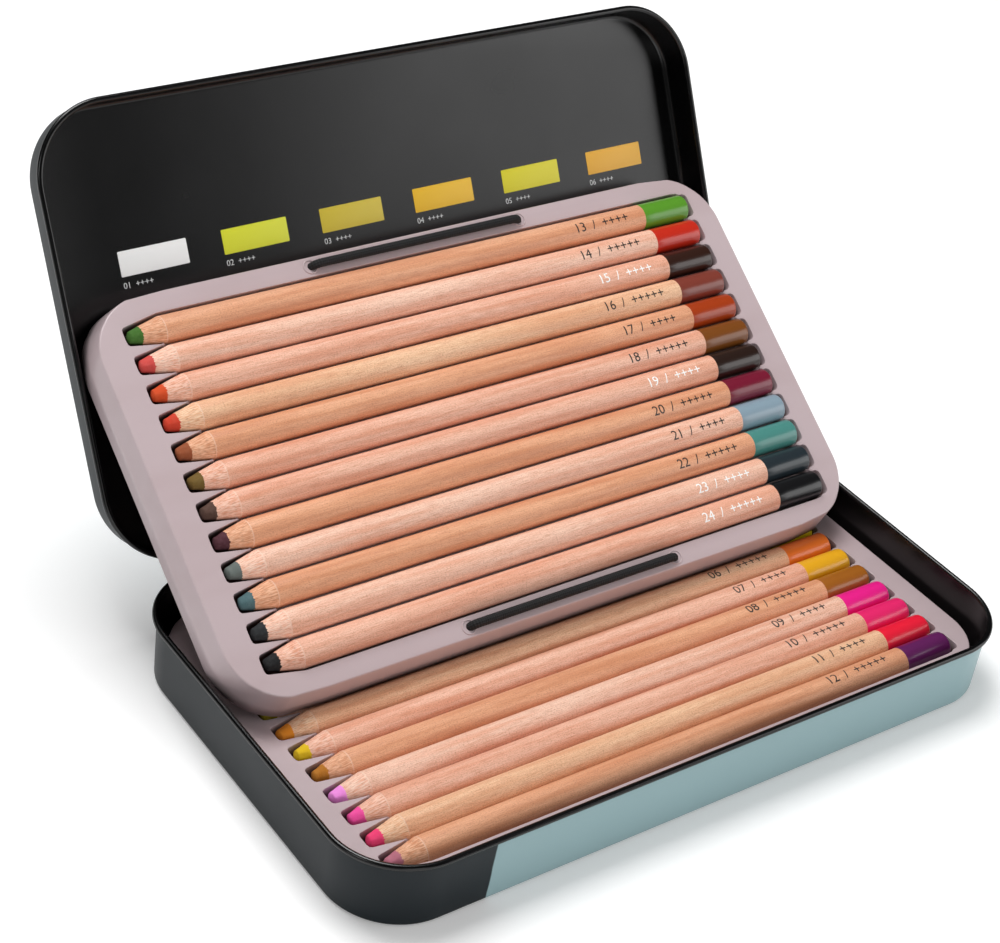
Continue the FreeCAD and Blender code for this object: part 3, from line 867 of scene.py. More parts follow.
class Tin:
    """Base and lid: one sheet each, with its rolled rim and the hinge's knuckles."""

    INSIDE = 0
    OUTSIDE = 1
    SLATE = (21, 30, 35)
    TEAL = (152, 181, 185)
    INNER_BLACK = (3, 3, 4)
    RIM_SWEEP = 300.0
    RIM_STEPS = 30
    FLOOR_STEPS = 6
    PANEL_STEPS = 8

    def __init__(self, sizes: TinSizes, shared: Shared) -> None:
        """Keep the sizes and make the tin's finishes.

        Args:
            sizes: the tin's sizes.
            shared: the shared node groups.
        """
        self.sizes = sizes
        outside = {"second": self.TEAL, "roughness": 0.36, "shine": 0.25}
        self.black = Enamel("inside_black", self.INNER_BLACK, roughness=0.26).make(shared)
        self.base_paint = Enamel("base_paint", self.SLATE, **outside, split_lean=0.055).make(shared)
        self.lid_paint = Enamel("lid_paint", self.SLATE, **outside).make(shared)

    def base_profile(self) -> tuple[Array, int]:
        """Inner floor round, inner wall, rolled rim, outer wall and outer floor round.

        Returns:
            Offsets and heights, and the step from which the outside's paint shows.
        """
        s = self.sizes
        inner = -s.reach - s.sheet
        small = s.floor_round - s.sheet
        floor_arc = arc((inner - small, s.floor_round), small, -90.0, 0.0, self.FLOOR_STEPS)
        middle = (-s.roll, s.base_height - s.roll)
        rim = arc(middle, s.roll, 180.0, 180.0 - self.RIM_SWEEP, self.RIM_STEPS)
        under = arc((-s.reach - s.floor_round, s.floor_round), s.floor_round, 0.0, -90.0, self.FLOOR_STEPS)
        return np.concatenate([floor_arc, rim, under]), len(floor_arc) + len(rim) - 1

    def lid_profile(self) -> tuple[Array, int]:
        """Inner panel round, inner wall, rolled rim, outer wall and outer top round, as closed.

        Returns:
            Offsets and heights, and the step from which the outside's paint shows.
        """
        s = self.sizes
        inner = -s.reach - s.sheet
        small = s.lid_round - s.sheet
        panel = arc((inner - small, s.lid_top - s.sheet - small), small, 90.0, 0.0, self.PANEL_STEPS)
        middle = (-s.roll, s.lid_rim + s.roll)
        rim = arc(middle, s.roll, 180.0, 180.0 + self.RIM_SWEEP, self.RIM_STEPS)
        middle = (-s.reach - s.lid_round, s.lid_top - s.lid_round)
        top = arc(middle, s.lid_round, 0.0, 90.0, self.PANEL_STEPS)
        return np.concatenate([panel, rim, top]), len(panel) + len(rim) - 1

    def sheet(self, piece: Piece, profile: Array, painted: int) -> None:
        """Carry a profile round the rim's outline and close the floor inside and outside.

        Args:
            piece: the piece to add to.
            profile: offsets from the rim's outline, and heights.
            painted: the profile step from which the outside's paint shows.
        """
        s = self.sizes
        outline, normals = rounded_outline((s.length / 2, s.width / 2), s.corner, 22, 14)
        surface = carried(outline, normals, profile)
        finish = np.where(np.arange(len(profile) - 1) >= painted, self.OUTSIDE, self.INSIDE)
        piece.grid(surface, wrap=True, finish=finish[None, :])
        piece.cap(surface[:, 0], self.INSIDE)
        piece.cap(surface[:, -1], self.OUTSIDE)

    def knuckle(self, piece: Piece, start: float, length: float, level: float, below: bool) -> None:
        """Curl one knuckle: a tube round the hinge's axis and the web that joins it to the rim.

        Args:
            piece: the piece to add to.
            start: where it begins along X.
            length: how long it is.
            level: height of the rim that it grows from.
            below: whether the web lies below that level.
        """
        s = self.sizes
        end = start + length
        soft = s.knuckle_soft
        ring = [
            (start, s.bore_radius),
            (start, s.knuckle_radius - soft),
            (start + soft, s.knuckle_radius),
            (end - soft, s.knuckle_radius),
            (end, s.knuckle_radius - soft),
            (end, s.bore_radius),
            (start, s.bore_radius),
        ]
        piece.grid(turned(np.asarray(ring), s.hinge, 32), finish=self.OUTSIDE)
        far = s.hinge[1] - s.knuckle_radius if below else s.hinge[1] + s.knuckle_radius
        near_y = s.width / 2 - s.reach / 2
        far_y = s.hinge[0] - s.bore_radius - s.web_gap
        section = np.array([[near_y, far], [far_y, far], [far_y, level], [near_y, level], [near_y, far]])
        ends = np.array([start, end])
        along = np.broadcast_to(ends[:, None, None], (2, len(section), 1))
        plate = np.broadcast_to(section[None], (2, len(section), 2))
        body = np.concatenate([along, plate], axis=-1)
        piece.grid(body, finish=self.OUTSIDE)
        piece.cap(body[0, :-1], self.OUTSIDE)
        piece.cap(body[1, :-1], self.OUTSIDE)

    def build_base(self) -> Item:
        """Build the base with its four knuckles.

        Returns:
            The finished piece.
        """
        s = self.sizes
        piece = Piece("base_shell")
        self.sheet(piece, *self.base_profile())
        half = s.lid_knuckle / 2 + s.knuckle_gap
        for middle in (-s.hinge_spacing / 2, s.hinge_spacing / 2):
            self.knuckle(piece, middle - half - s.base_knuckle, s.base_knuckle, s.base_height, True)
            self.knuckle(piece, middle + half, s.base_knuckle, s.base_height, True)
        item = piece.build(Place(), [self.black, self.base_paint])
        return settle(item, "base", "base_paint", "tin_base")

    def build_lid(self) -> Item:
        """Build the lid, swung open, with its two knuckles.

        Returns:
            The finished piece.
        """
        s = self.sizes
        piece = Piece("lid_shell")
        self.sheet(piece, *self.lid_profile())
        for middle in (-s.hinge_spacing / 2, s.hinge_spacing / 2):
            self.knuckle(piece, middle - s.lid_knuckle / 2, s.lid_knuckle, s.lid_rim, False)
        item = piece.build(s.lid_place, [self.black, self.lid_paint])
        return settle(item, "lid", "lid_paint", "tin_lid")


def curve_mesh(curve: bpy.types.Curve) -> bpy.types.Mesh:
    """Turn a curve or a text into a mesh, and remove the curve.

    Args:
        curve: the curve's data.

    Returns:
        A mesh of its own.
    """
    holder = bpy.data.objects.new(curve.name, curve)
    mesh = bpy.data.meshes.new_from_object(holder)
    bpy.data.objects.remove(holder)
    bpy.data.curves.remove(curve)
    return mesh


def mesh_points(mesh: bpy.types.Mesh) -> Array:
    """Read a mesh's points.

    Args:
        mesh: the mesh.

    Returns:
        One point a row.
    """
    points = np.zeros(len(mesh.vertices) * 3)
    mesh.vertices.foreach_get("co", points)
    return points.reshape(-1, 3)


def lettering(text: str, height: float, depth: float, cuts: Array) -> tuple[Array, list[list[int]]]:
    """Raised figures as a thin closed solid from x = 0, centred in height and depth and cut into strips.

    Args:
        text: plain figures and marks.
        height: height of a figure.
        depth: thickness of the print.
        cuts: heights at which the faces are divided, so that they can bend.

    Returns:
        Points in millimetres and faces.
    """
    curve = bpy.data.curves.new("figures", "FONT")
    curve.body = text
    curve.align_x = "LEFT"
    curve.align_y = "CENTER"
    curve.size = height / FIGURE_SHARE
    curve.resolution_u = 3
    curve.extrude = depth / 2
    mesh = curve_mesh(curve)
    work = bmesh.new()
    work.from_mesh(mesh)
    bmesh.ops.remove_doubles(work, verts=work.verts, dist=FIGURE_MERGE)
    bmesh.ops.triangulate(work, faces=work.faces)
    for level in cuts.tolist():
        parts = [*work.verts, *work.edges, *work.faces]
        bmesh.ops.bisect_plane(work, geom=parts, plane_co=(0.0, level, 0.0), plane_no=(0.0, 1.0, 0.0))
    bmesh.ops.triangulate(work, faces=work.faces)
    work.to_mesh(mesh)
    work.free()
    points = mesh_points(mesh)
    faces = np.zeros(len(mesh.loops), np.int32)
    mesh.loops.foreach_get("vertex_index", faces)
    bpy.data.meshes.remove(mesh)
    return points, faces.reshape(-1, 3).tolist()


@dataclass(frozen=True)
class ChartSizes:
    """The printed colour chart on the lid's inner panel, in the closed lid's axes."""

    columns: int = 6
    first_x: float = -80.1
    pitch_x: float = 29.3
    patch_length: float = 19.2
    patch_width: float = 6.4
    first_along: float = 79.2
    pitch_along: float = 17.0
    ink: float = 0.06
    figure: float = 1.5
    figure_gap: float = 2.3
    patch_corner: float = 0.25
    patch_bevel: float = 0.1
    seat: float = 0.02


@dataclass
class Chart:
    """A plain chart of colour patches with a number under each."""

    tin: TinSizes
    colours: list[Rgb]
    sizes: ChartSizes = ChartSizes()

    def patch_places(self) -> Array:
        """Corner of every patch: x from the column, distance from the hinge from the row.

        Returns:
            X and distance from the hinge, one patch a row.
        """
        index = np.arange(len(self.colours))
        along_x = self.sizes.first_x + (index % self.sizes.columns) * self.sizes.pitch_x
        from_hinge = self.sizes.first_along - (index // self.sizes.columns) * self.sizes.pitch_along
        return np.stack([along_x, from_hinge], axis=-1)

    def build(self, shared: Shared) -> None:
        """Build the patches and their figures on the panel.

        Args:
            shared: the shared node groups.
        """
        s = self.sizes
        places = self.patch_places()
        panel = self.tin.lid_top - self.tin.sheet
        hinge_y = self.tin.hinge[0]
        half = (s.patch_length / 2, s.patch_width / 2)
        face = panel - s.ink
        for index, (place, colour) in enumerate(zip(places.tolist(), self.colours)):
            name = f"patch_{index + 1:02d}"
            piece = Piece(name)
            outline, normals = rounded_outline(half, s.patch_corner, 3, 3)
            outline = outline + np.array([place[0] + half[0], hinge_y - place[1] + half[1]])
            steps = np.array([[0.0, panel + s.seat], [0.0, face], [-s.patch_bevel, face - s.seat]])
            side = carried(outline, normals, steps)
            piece.grid(side, wrap=True)
            piece.cap(side[:, 0])
            piece.cap(side[:, -1])
            ink = Print(f"ink_{name}", colour, 0.42).make(shared)
            settle(piece.build(self.tin.lid_place, [ink]), "lid", None)
        figures = Piece("chart_figures")
        for index, place in enumerate(places.tolist()):
            points, faces = lettering(f"{index + 1:02d}  ++++", s.figure, s.ink, np.zeros(0))
            x = points[:, 0] + place[0]
            y = hinge_y - place[1] + s.patch_width + s.figure_gap - points[:, 1]
            z = panel - s.ink / 2 - points[:, 2]
            figures.loose(np.stack([x, y, z], axis=-1), faces)
        white = Print("chart_white", (225, 228, 228), 0.45).make(shared)
        settle(figures.build(self.tin.lid_place, [white]), "lid", None)


@dataclass(frozen=True)
class TraySizes:
    """A formed tray in its own axes: origin at the middle of its foot, channels along X."""

    length: float = 197.2
    width: float = 111.0
    corner: float = 17.8
    height: float = 9.6
    sink: float = 1.1
    sheet: float = 0.45
    draft: float = 10.5
    edge_round: float = 0.5
    pitch: float = 7.97
    slot_x: float = -88.8
    shoulder_x: float = -78.4
    end_x: float = 89.7
    slot_half: float = 2.6
    slot_round: float = 1.2
    barrel: float = 4.05
    gutter: float = 0.3
    far_round: float = 1.5
    far_step: float = 0.25
    wall_draft: float = 3.0
    floor_round: float = 1.0
    lip: float = 0.12
    outer_cell: float = 5.1
    margin: float = 0.3
    near_wall: float = 0.18
    far_wall: float = 0.4
    shoulder_run: float = 0.6
    run_end: float = 80.0
    ridge_start: float = 84.0

    @property
    def axis_z(self) -> float:
        """Height of the pencils' axes."""
        return self.height - self.sink

    def row_y(self, row: int) -> float:
        """Y of one row's axis, row 0 at the back."""
        return ((ROWS - 1) / 2 - row) * self.pitch


class Tray:
    """Twelve bullet-shaped channels pressed into one sheet, with a soft flange and a drafted skirt."""

    # Points down the two end walls, as distances from slot or end, with the depth's share at each.
    NEAR_PLACES = np.array([0.06, 0.12])
    NEAR_SHARES = np.array([0.35, 0.62])
    FAR_PLACES = np.array([-0.27, -0.14])
    FAR_SHARES = np.array([0.55, 0.28])
    # The ridges between the pencils' ends: distances from the end, in steps of far_step.
    RIDGE_PLACES = np.array([-5.0, -3.5, -3.1, -2.7, -2.2])
    RIDGE_SHARES = np.array([0.0, 0.8, 1.0, 2.2, 3.0])
    # Share of the painted shade in the channels, by distance from the nearer end; the far end counts
    # faster.
    PAINTED_SHADE_SPAN = (7.0, 12.0)
    PAINTED_SHADE_SHARES = (1.0, 0.3)
    FAR_RATE = 1.9
    CRISP = 50.0

    def __init__(self, name: str, sizes: TraySizes, place: Place) -> None:
        """Keep the name, sizes and place.

        Args:
            name: the tray's CAD node.
            sizes: the tray's sizes.
            place: where its axes lie in the frame.
        """
        self.name = name
        self.sizes = sizes
        self.place = place

    def stations(self) -> tuple[Array, Array]:
        """Places along X and the share of the full depth there: lip, end wall, floor, end wall, lip.

        Returns:
            Two arrays of one length.
        """
        s = self.sizes
        quarter = np.radians(np.linspace(0.0, 90.0, 7))
        near_depth = s.sink + s.slot_half - s.slot_round
        near_round = s.floor_round / 2
        near_x = [
            [s.slot_x - s.lip - s.margin],
            s.slot_x - s.lip + s.lip * np.sin(quarter),
            s.slot_x + self.NEAR_PLACES,
            s.slot_x + s.near_wall + near_round * (1.0 - np.cos(quarter)),
        ]
        near_share = [
            [0.0],
            s.lip * (1.0 - np.cos(quarter)) / near_depth,
            self.NEAR_SHARES,
            1.0 - near_round * (1.0 - np.sin(quarter)) / near_depth,
        ]
        far_depth = s.sink + s.barrel
        far_x = [
            s.end_x - s.far_wall - s.floor_round * (1.0 - np.sin(quarter)),
            s.end_x + self.FAR_PLACES,
            s.end_x + s.lip * (1.0 - np.cos(quarter)),
            [s.end_x + s.lip + s.margin],
        ]
        far_share = [
            1.0 - s.floor_round * (1.0 - np.cos(quarter)) / far_depth,
            self.FAR_SHARES,
            s.lip * (1.0 - np.sin(quarter)) / far_depth,
            [0.0],
        ]
        run_start = s.shoulder_x + s.shoulder_run
        cone_x = np.linspace(near_x[-1][-1], run_start, 20)[1:-1]
        run_x = np.linspace(run_start, s.run_end, 16)
        ridge_x = np.linspace(s.ridge_start, far_x[0][0], 14)[:-1]
        full = np.ones(len(cone_x) + len(run_x) + len(ridge_x))
        x = np.concatenate([*near_x, cone_x, run_x, ridge_x, *far_x])
        return x, np.concatenate([*near_share, full, *far_share])

    def half_section(self, x: Array, share: Array, cell: float, gutter: float) -> tuple[Array, Array]:
        """Half of a channel's cross-section for every station.

        A quarter ellipse rises from the bottom, a drafted wall leaves it where their slopes agree,
        a small lip circle rolls out of the wall, and a flat runs on to the edge of the cell.
        What lies past the cell's edge is cut off there, and heights shrink by the depth's share.

        Args:
            x: station places.
            share: share of the full depth at each station.
            cell: distance from the channel's axis to the edge of its cell.
            gutter: how much wider than round the channel is on this side, along the barrel.

        Returns:
            Distances from the axis and heights under the flange, station by point.
        """
        s = self.sizes
        inward = np.clip(x - s.slot_x, 0.0, s.slot_round)
        corner = np.sqrt(s.slot_round**2 - (s.slot_round - inward) ** 2)
        slope = np.clip((x - s.slot_x - s.slot_round) / (s.shoulder_x - s.slot_x - s.slot_round), 0.0, 1.0)
        outward = np.clip(x - s.end_x + s.far_round, 0.0, s.far_round)
        narrowed = s.far_round - np.sqrt(s.far_round**2 - outward**2)
        narrowed += np.interp(x - s.end_x, self.RIDGE_PLACES, self.RIDGE_SHARES * s.far_step)
        radius = (s.slot_half - s.slot_round + corner + (s.barrel - s.slot_half) * slope)[:, None]
        wide = radius + gutter * slope[:, None] - narrowed[:, None]
        tilt = math.radians(s.wall_draft)
        meet = -np.arctan(math.tan(tilt) * radius / wide)
        angle = -np.pi / 2 + (meet + np.pi / 2) * np.linspace(0.0, 1.0, 12)[None, :]
        bed_u = wide * np.cos(angle)
        bed_z = radius * np.sin(angle) - s.sink
        rise = -s.lip - bed_z[:, -1:]
        centre = bed_u[:, -1:] + (s.lip + rise * math.sin(tilt)) / math.cos(tilt)
        roll = np.linspace(np.pi - tilt, np.pi / 2, 6)[None, :]
        lip_u = centre + s.lip * np.cos(roll)
        lip_z = np.broadcast_to(s.lip * (np.sin(roll) - 1.0), lip_u.shape)
        part = np.linspace(0.0, 1.0, 4)[None, 1:-1]
        wall_u = bed_u[:, -1:] + (lip_u[:, :1] - bed_u[:, -1:]) * part
        wall_z = bed_z[:, -1:] + (lip_z[:, :1] - bed_z[:, -1:]) * part
        flat_u = np.maximum(centre, cell)
        u = np.concatenate([bed_u, wall_u, lip_u, flat_u], axis=1)
        z = np.concatenate([bed_z, wall_z, lip_z, np.zeros_like(flat_u)], axis=1)
        after = np.argmax(u >= cell, axis=1)[:, None]
        u_after = np.take_along_axis(u, after, axis=1)
        u_before = np.take_along_axis(u, after - 1, axis=1)
        z_after = np.take_along_axis(z, after, axis=1)
        z_before = np.take_along_axis(z, after - 1, axis=1)
        edge = z_before + (z_after - z_before) * (cell - u_before) / np.maximum(u_after - u_before, 1e-9)
        z = np.where(u >= cell, edge, z) * share[:, None]
        return np.minimum(u, cell), z

    def channels(self) -> Array:
        """All twelve channels as one grid: stations along X by sections from the front to the back.

        Returns:
            The grid of points in the tray's axes.
        """
        s = self.sizes
        x, share = self.stations()
        inner = self.half_section(x, share, s.pitch / 2, 0.0)
        outer = self.half_section(x, share, s.outer_cell, s.gutter)
        across = []
        height = []
        for row in reversed(range(ROWS)):
            front = outer if row == ROWS - 1 else inner
            back = outer if row == 0 else inner
            across += [s.row_y(row) - front[0][:, ::-1], s.row_y(row) + back[0][:, 1:]]
            height += [front[1][:, ::-1], back[1][:, 1:]]
        y = np.concatenate(across, axis=1)
        z = s.height + np.concatenate(height, axis=1)
        return np.stack([np.broadcast_to(x[:, None], y.shape), y, z], axis=-1)

    def skirt(self, edge: Array) -> Array:
        """The flange, its rounded edge and the drafted skirt, carried outward from the channels' edge.

        Each point of the edge is carried along its ray from the middle to the tray's outline.

        Args:
            edge: the closed edge of the channels' grid.

        Returns:
            A grid of points, edge by profile.
        """
        s = self.sizes
        slope = math.radians(s.draft)
        inset = s.height * math.tan(slope)
        half = (s.length / 2 - inset, s.width / 2 - inset)
        outline, normals = outline_hit(edge[:, :2], half, s.corner - inset)
        middle = -s.edge_round * (1.0 - math.sin(slope)) / math.cos(slope)
        soft = arc((middle, s.height - s.edge_round), s.edge_round, 90.0, s.draft, 8)
        foot = np.array([[inset * 0.6, s.height * 0.4], [inset, 0.0]])
        band = carried(outline, normals, np.concatenate([soft, foot]))
        return np.concatenate([edge[:, None, :], band], axis=1)

    def build(self, body: str, plastic: Material) -> Item:
        """Build the tray as one formed sheet with its thickness inwards.

        Args:
            body: the CAD body that carries it.
            plastic: its material.

        Returns:
            The finished piece.
        """
        piece = Piece(f"{self.name}_formed")
        bed = self.channels()
        s = self.sizes
        # The surface map carries the depth under the flange and the share of painted shade near the ends,
        # for the plastic's painted shade.
        depth = (s.height - bed[..., 2]) / s.height
        from_ends = np.minimum(bed[..., 0] - s.slot_x, self.FAR_RATE * (s.end_x - bed[..., 0]))
        end_shade_share = np.interp(from_ends, self.PAINTED_SHADE_SPAN, self.PAINTED_SHADE_SHARES)
        piece.grid(bed, uv=np.stack([depth, end_shade_share], axis=-1))
        loop = [bed[:, 0], bed[-1, 1:], bed[-2::-1, -1], bed[0, -2:0:-1]]
        piece.grid(self.skirt(np.concatenate(loop)), wrap=True)
        item = piece.build(self.place, [plastic], self.CRISP)
        up = Vector(self.place.carry(np.array([0.0, 0.0, 1.0])) - self.place.carry(np.zeros(3)))
        flat = max(item.data.polygons, key=lambda face: face.area)
        if flat.normal.dot(up) < 0:
            item.data.flip_normals()
        wall = item.modifiers.new("sheet", "SOLIDIFY")
        wall.thickness = s.sheet * MM
        wall.offset = -1.0
        return settle(item, body, "tray_plastic", self.name)

    def hole_rims(self, cord: "CordSizes", body: str, plastic: Material) -> Item:
        """Raise a thin bead round each cord hole: a small circle carried round the hole's own circle.

        Args:
            cord: sizes and places of the cords.
            body: the CAD body that carries the rims.
            plastic: the tray's material.

        Returns:
            The finished piece.
        """
        piece = Piece(f"{self.name}_hole_rims")
        around = np.linspace(0.0, TURN, 33)[:, None]
        turn = np.linspace(0.0, TURN, 13)[None, :]
        reach = cord.hole / 2 + cord.bead_gap + cord.bead * np.cos(turn)
        for end in (-cord.span / 2, cord.span / 2):
            for across in (-cord.place, cord.place):
                x = end + reach * np.cos(around)
                y = across + reach * np.sin(around)
                z = np.broadcast_to(self.sizes.height + cord.bead * np.sin(turn), x.shape)
                piece.grid(np.stack([x, y, z], axis=-1))
        return settle(piece.build(self.place, [plastic]), body, "tray_plastic")


@dataclass(frozen=True)
class CordSizes:
    """An elastic pull cord: along the flange, down through two holes."""

    diameter: float = 2.4
    span: float = 66.0
    place: float = 51.0
    seat: float = 0.05
    knot: float = 3.8
    hole: float = 3.2
    lead: float = 6.0
    bead: float = 0.22
    bead_gap: float = 0.25
    strand_pitch: float = 1.5
    strand_depth: float = 0.05
    strands: int = 4


class PullCord:
    """A braided elastic cord that lies on the flange, with its knots under the sheet."""

    STEPS = 420
    AROUND = 28
    KNOT_WAVE = 0.06
    CRISP = 70.0

    def __init__(self, name: str, across: float, sizes: CordSizes, tray: TraySizes, place: Place) -> None:
        """Keep the name, the cord's Y on the tray, the sizes and the tray's place.

        Args:
            name: the cord's CAD node.
            across: the cord's Y on the tray.
            sizes: the cord's sizes.
            tray: the tray's sizes.
            place: where the tray's axes lie in the frame.
        """
        self.name = name
        self.across = across
        self.sizes = sizes
        self.tray = tray
        self.place = place

    @property
    def knot_z(self) -> float:
        """Height of the knots' middles, just under the sheet."""
        return self.tray.height - self.tray.sheet - self.sizes.knot / 2

    def route(self) -> Array:
        """The cord's line: a smooth spline from knot to knot over the flange.

        Returns:
            Points along the line.
        """
        s = self.sizes
        half = s.span / 2
        top = self.tray.height + s.seat + s.diameter / 2
        low = self.knot_z
        inner = half - s.lead
        control = [(-half, low), (-half, top), (-inner, top), (inner, top), (half, top), (half, low)]
        curve = bpy.data.curves.new("cord_line", "CURVE")
        curve.dimensions = "3D"
        spline = curve.splines.new("NURBS")
        spline.points.add(len(control) - 1)
        spots = [value for x, z in control for value in (x, self.across, z, 1.0)]
        spline.points.foreach_set("co", spots)
        spline.order_u = 3
        spline.use_endpoint_u = True
        spline.resolution_u = 16
        mesh = curve_mesh(curve)
        points = mesh_points(mesh)
        bpy.data.meshes.remove(mesh)
        return points

    def tube(self, line: Array, steps: int, around: int) -> tuple[Array, Array]:
        """A round tube with a braided skin along a line in one upright plane.

        Radius times the normal's cosine and sine round the line, the radius waved by crossing strands.

        Args:
            line: the cord's line.
            steps: points along it.
            around: steps round it.

        Returns:
            The grid of points and its places on the surface.
        """
        gap = np.linalg.norm(np.diff(line, axis=0), axis=1)
        walked = np.concatenate([[0.0], np.cumsum(gap)])
        even = np.linspace(0.0, walked[-1], steps)
        path = np.stack([np.interp(even, walked, line[:, axis]) for axis in range(3)], axis=-1)
        ahead = np.gradient(path, axis=0)
        ahead /= np.linalg.norm(ahead, axis=1, keepdims=True)
        side = np.array([0.0, 1.0, 0.0])
        above = np.cross(ahead, side)
        angle = np.linspace(0.0, TURN, around + 1)[None, :, None]
        s = self.sizes
        phase = (even / s.strand_pitch * TURN)[:, None, None]
        strand = np.sin(phase + s.strands * angle) * np.sin(phase - s.strands * angle)
        radius = s.diameter / 2 + s.strand_depth * (strand - 1.0)
        grid = path[:, None, :] + radius * (np.cos(angle) * side + np.sin(angle) * above[:, None, :])
        u = np.broadcast_to((even / walked[-1])[:, None], grid.shape[:2])
        v = np.broadcast_to(angle[..., 0] / TURN, grid.shape[:2])
        return grid, np.stack([u, v], axis=-1)

    def knot(self, end: float) -> Array:
        """A tied knot: a ball whose radius is waved by winding turns.

        Args:
            end: the knot's place along X.

        Returns:
            A grid of points, from top to bottom by angle.
        """
        s = self.sizes
        down = np.linspace(0.0, np.pi, 25)[:, None]
        around = np.linspace(0.0, TURN, 33)[None, :]
        radius = s.knot / 2 * (1.0 + self.KNOT_WAVE * (np.cos(6 * down + 2 * around) - 1.0))
        x = end + radius * np.sin(down) * np.cos(around)
        y = self.across + radius * np.sin(down) * np.sin(around)
        z = self.knot_z + radius * np.cos(down) * np.ones_like(around)
        return np.stack([x, y, z], axis=-1)

    def build(self, elastic: Material) -> Item:
        """Build the cord with its two knots.

        Args:
            elastic: its material.

        Returns:
            The finished piece.
        """
        piece = Piece(f"{self.name}_braid")
        grid, surface = self.tube(self.route(), self.STEPS, self.AROUND)
        piece.grid(grid, uv=surface)
        piece.cap(grid[0, :-1])
        piece.cap(grid[-1, :-1])
        half = self.sizes.span / 2
        for end in (-half, half):
            piece.grid(self.knot(end))
        item = piece.build(self.place, [elastic], self.CRISP)
        return settle(item, "upper_tray", "elastic", self.name)


@dataclass(frozen=True)
class PencilSizes:
    """A round pastel pencil along X, measured from its point."""

    length: float = 175.0
    radius: float = 3.75
    core: float = 2.3
    point: float = 1.5
    cone: float = 9.2
    lacquer: float = 0.05
    dip: float = 15.8
    end_round: float = 0.9
    tip_x: float = -87.9
    uv_length: float = 200.0
    uv_turn: float = 0.37
    figure: float = 2.7
    ink: float = 0.05
    ink_lift: float = 0.01
    print_gap: float = 6.0
    print_turn: float = -4.0

    @property
    def bare(self) -> float:
        """Length of bare core in front of the wood."""
        return self.cone * (self.core - self.point) / (self.radius - self.point)

    @property
    def dip_start(self) -> float:
        """Where the dipped end begins."""
        return self.length - self.dip


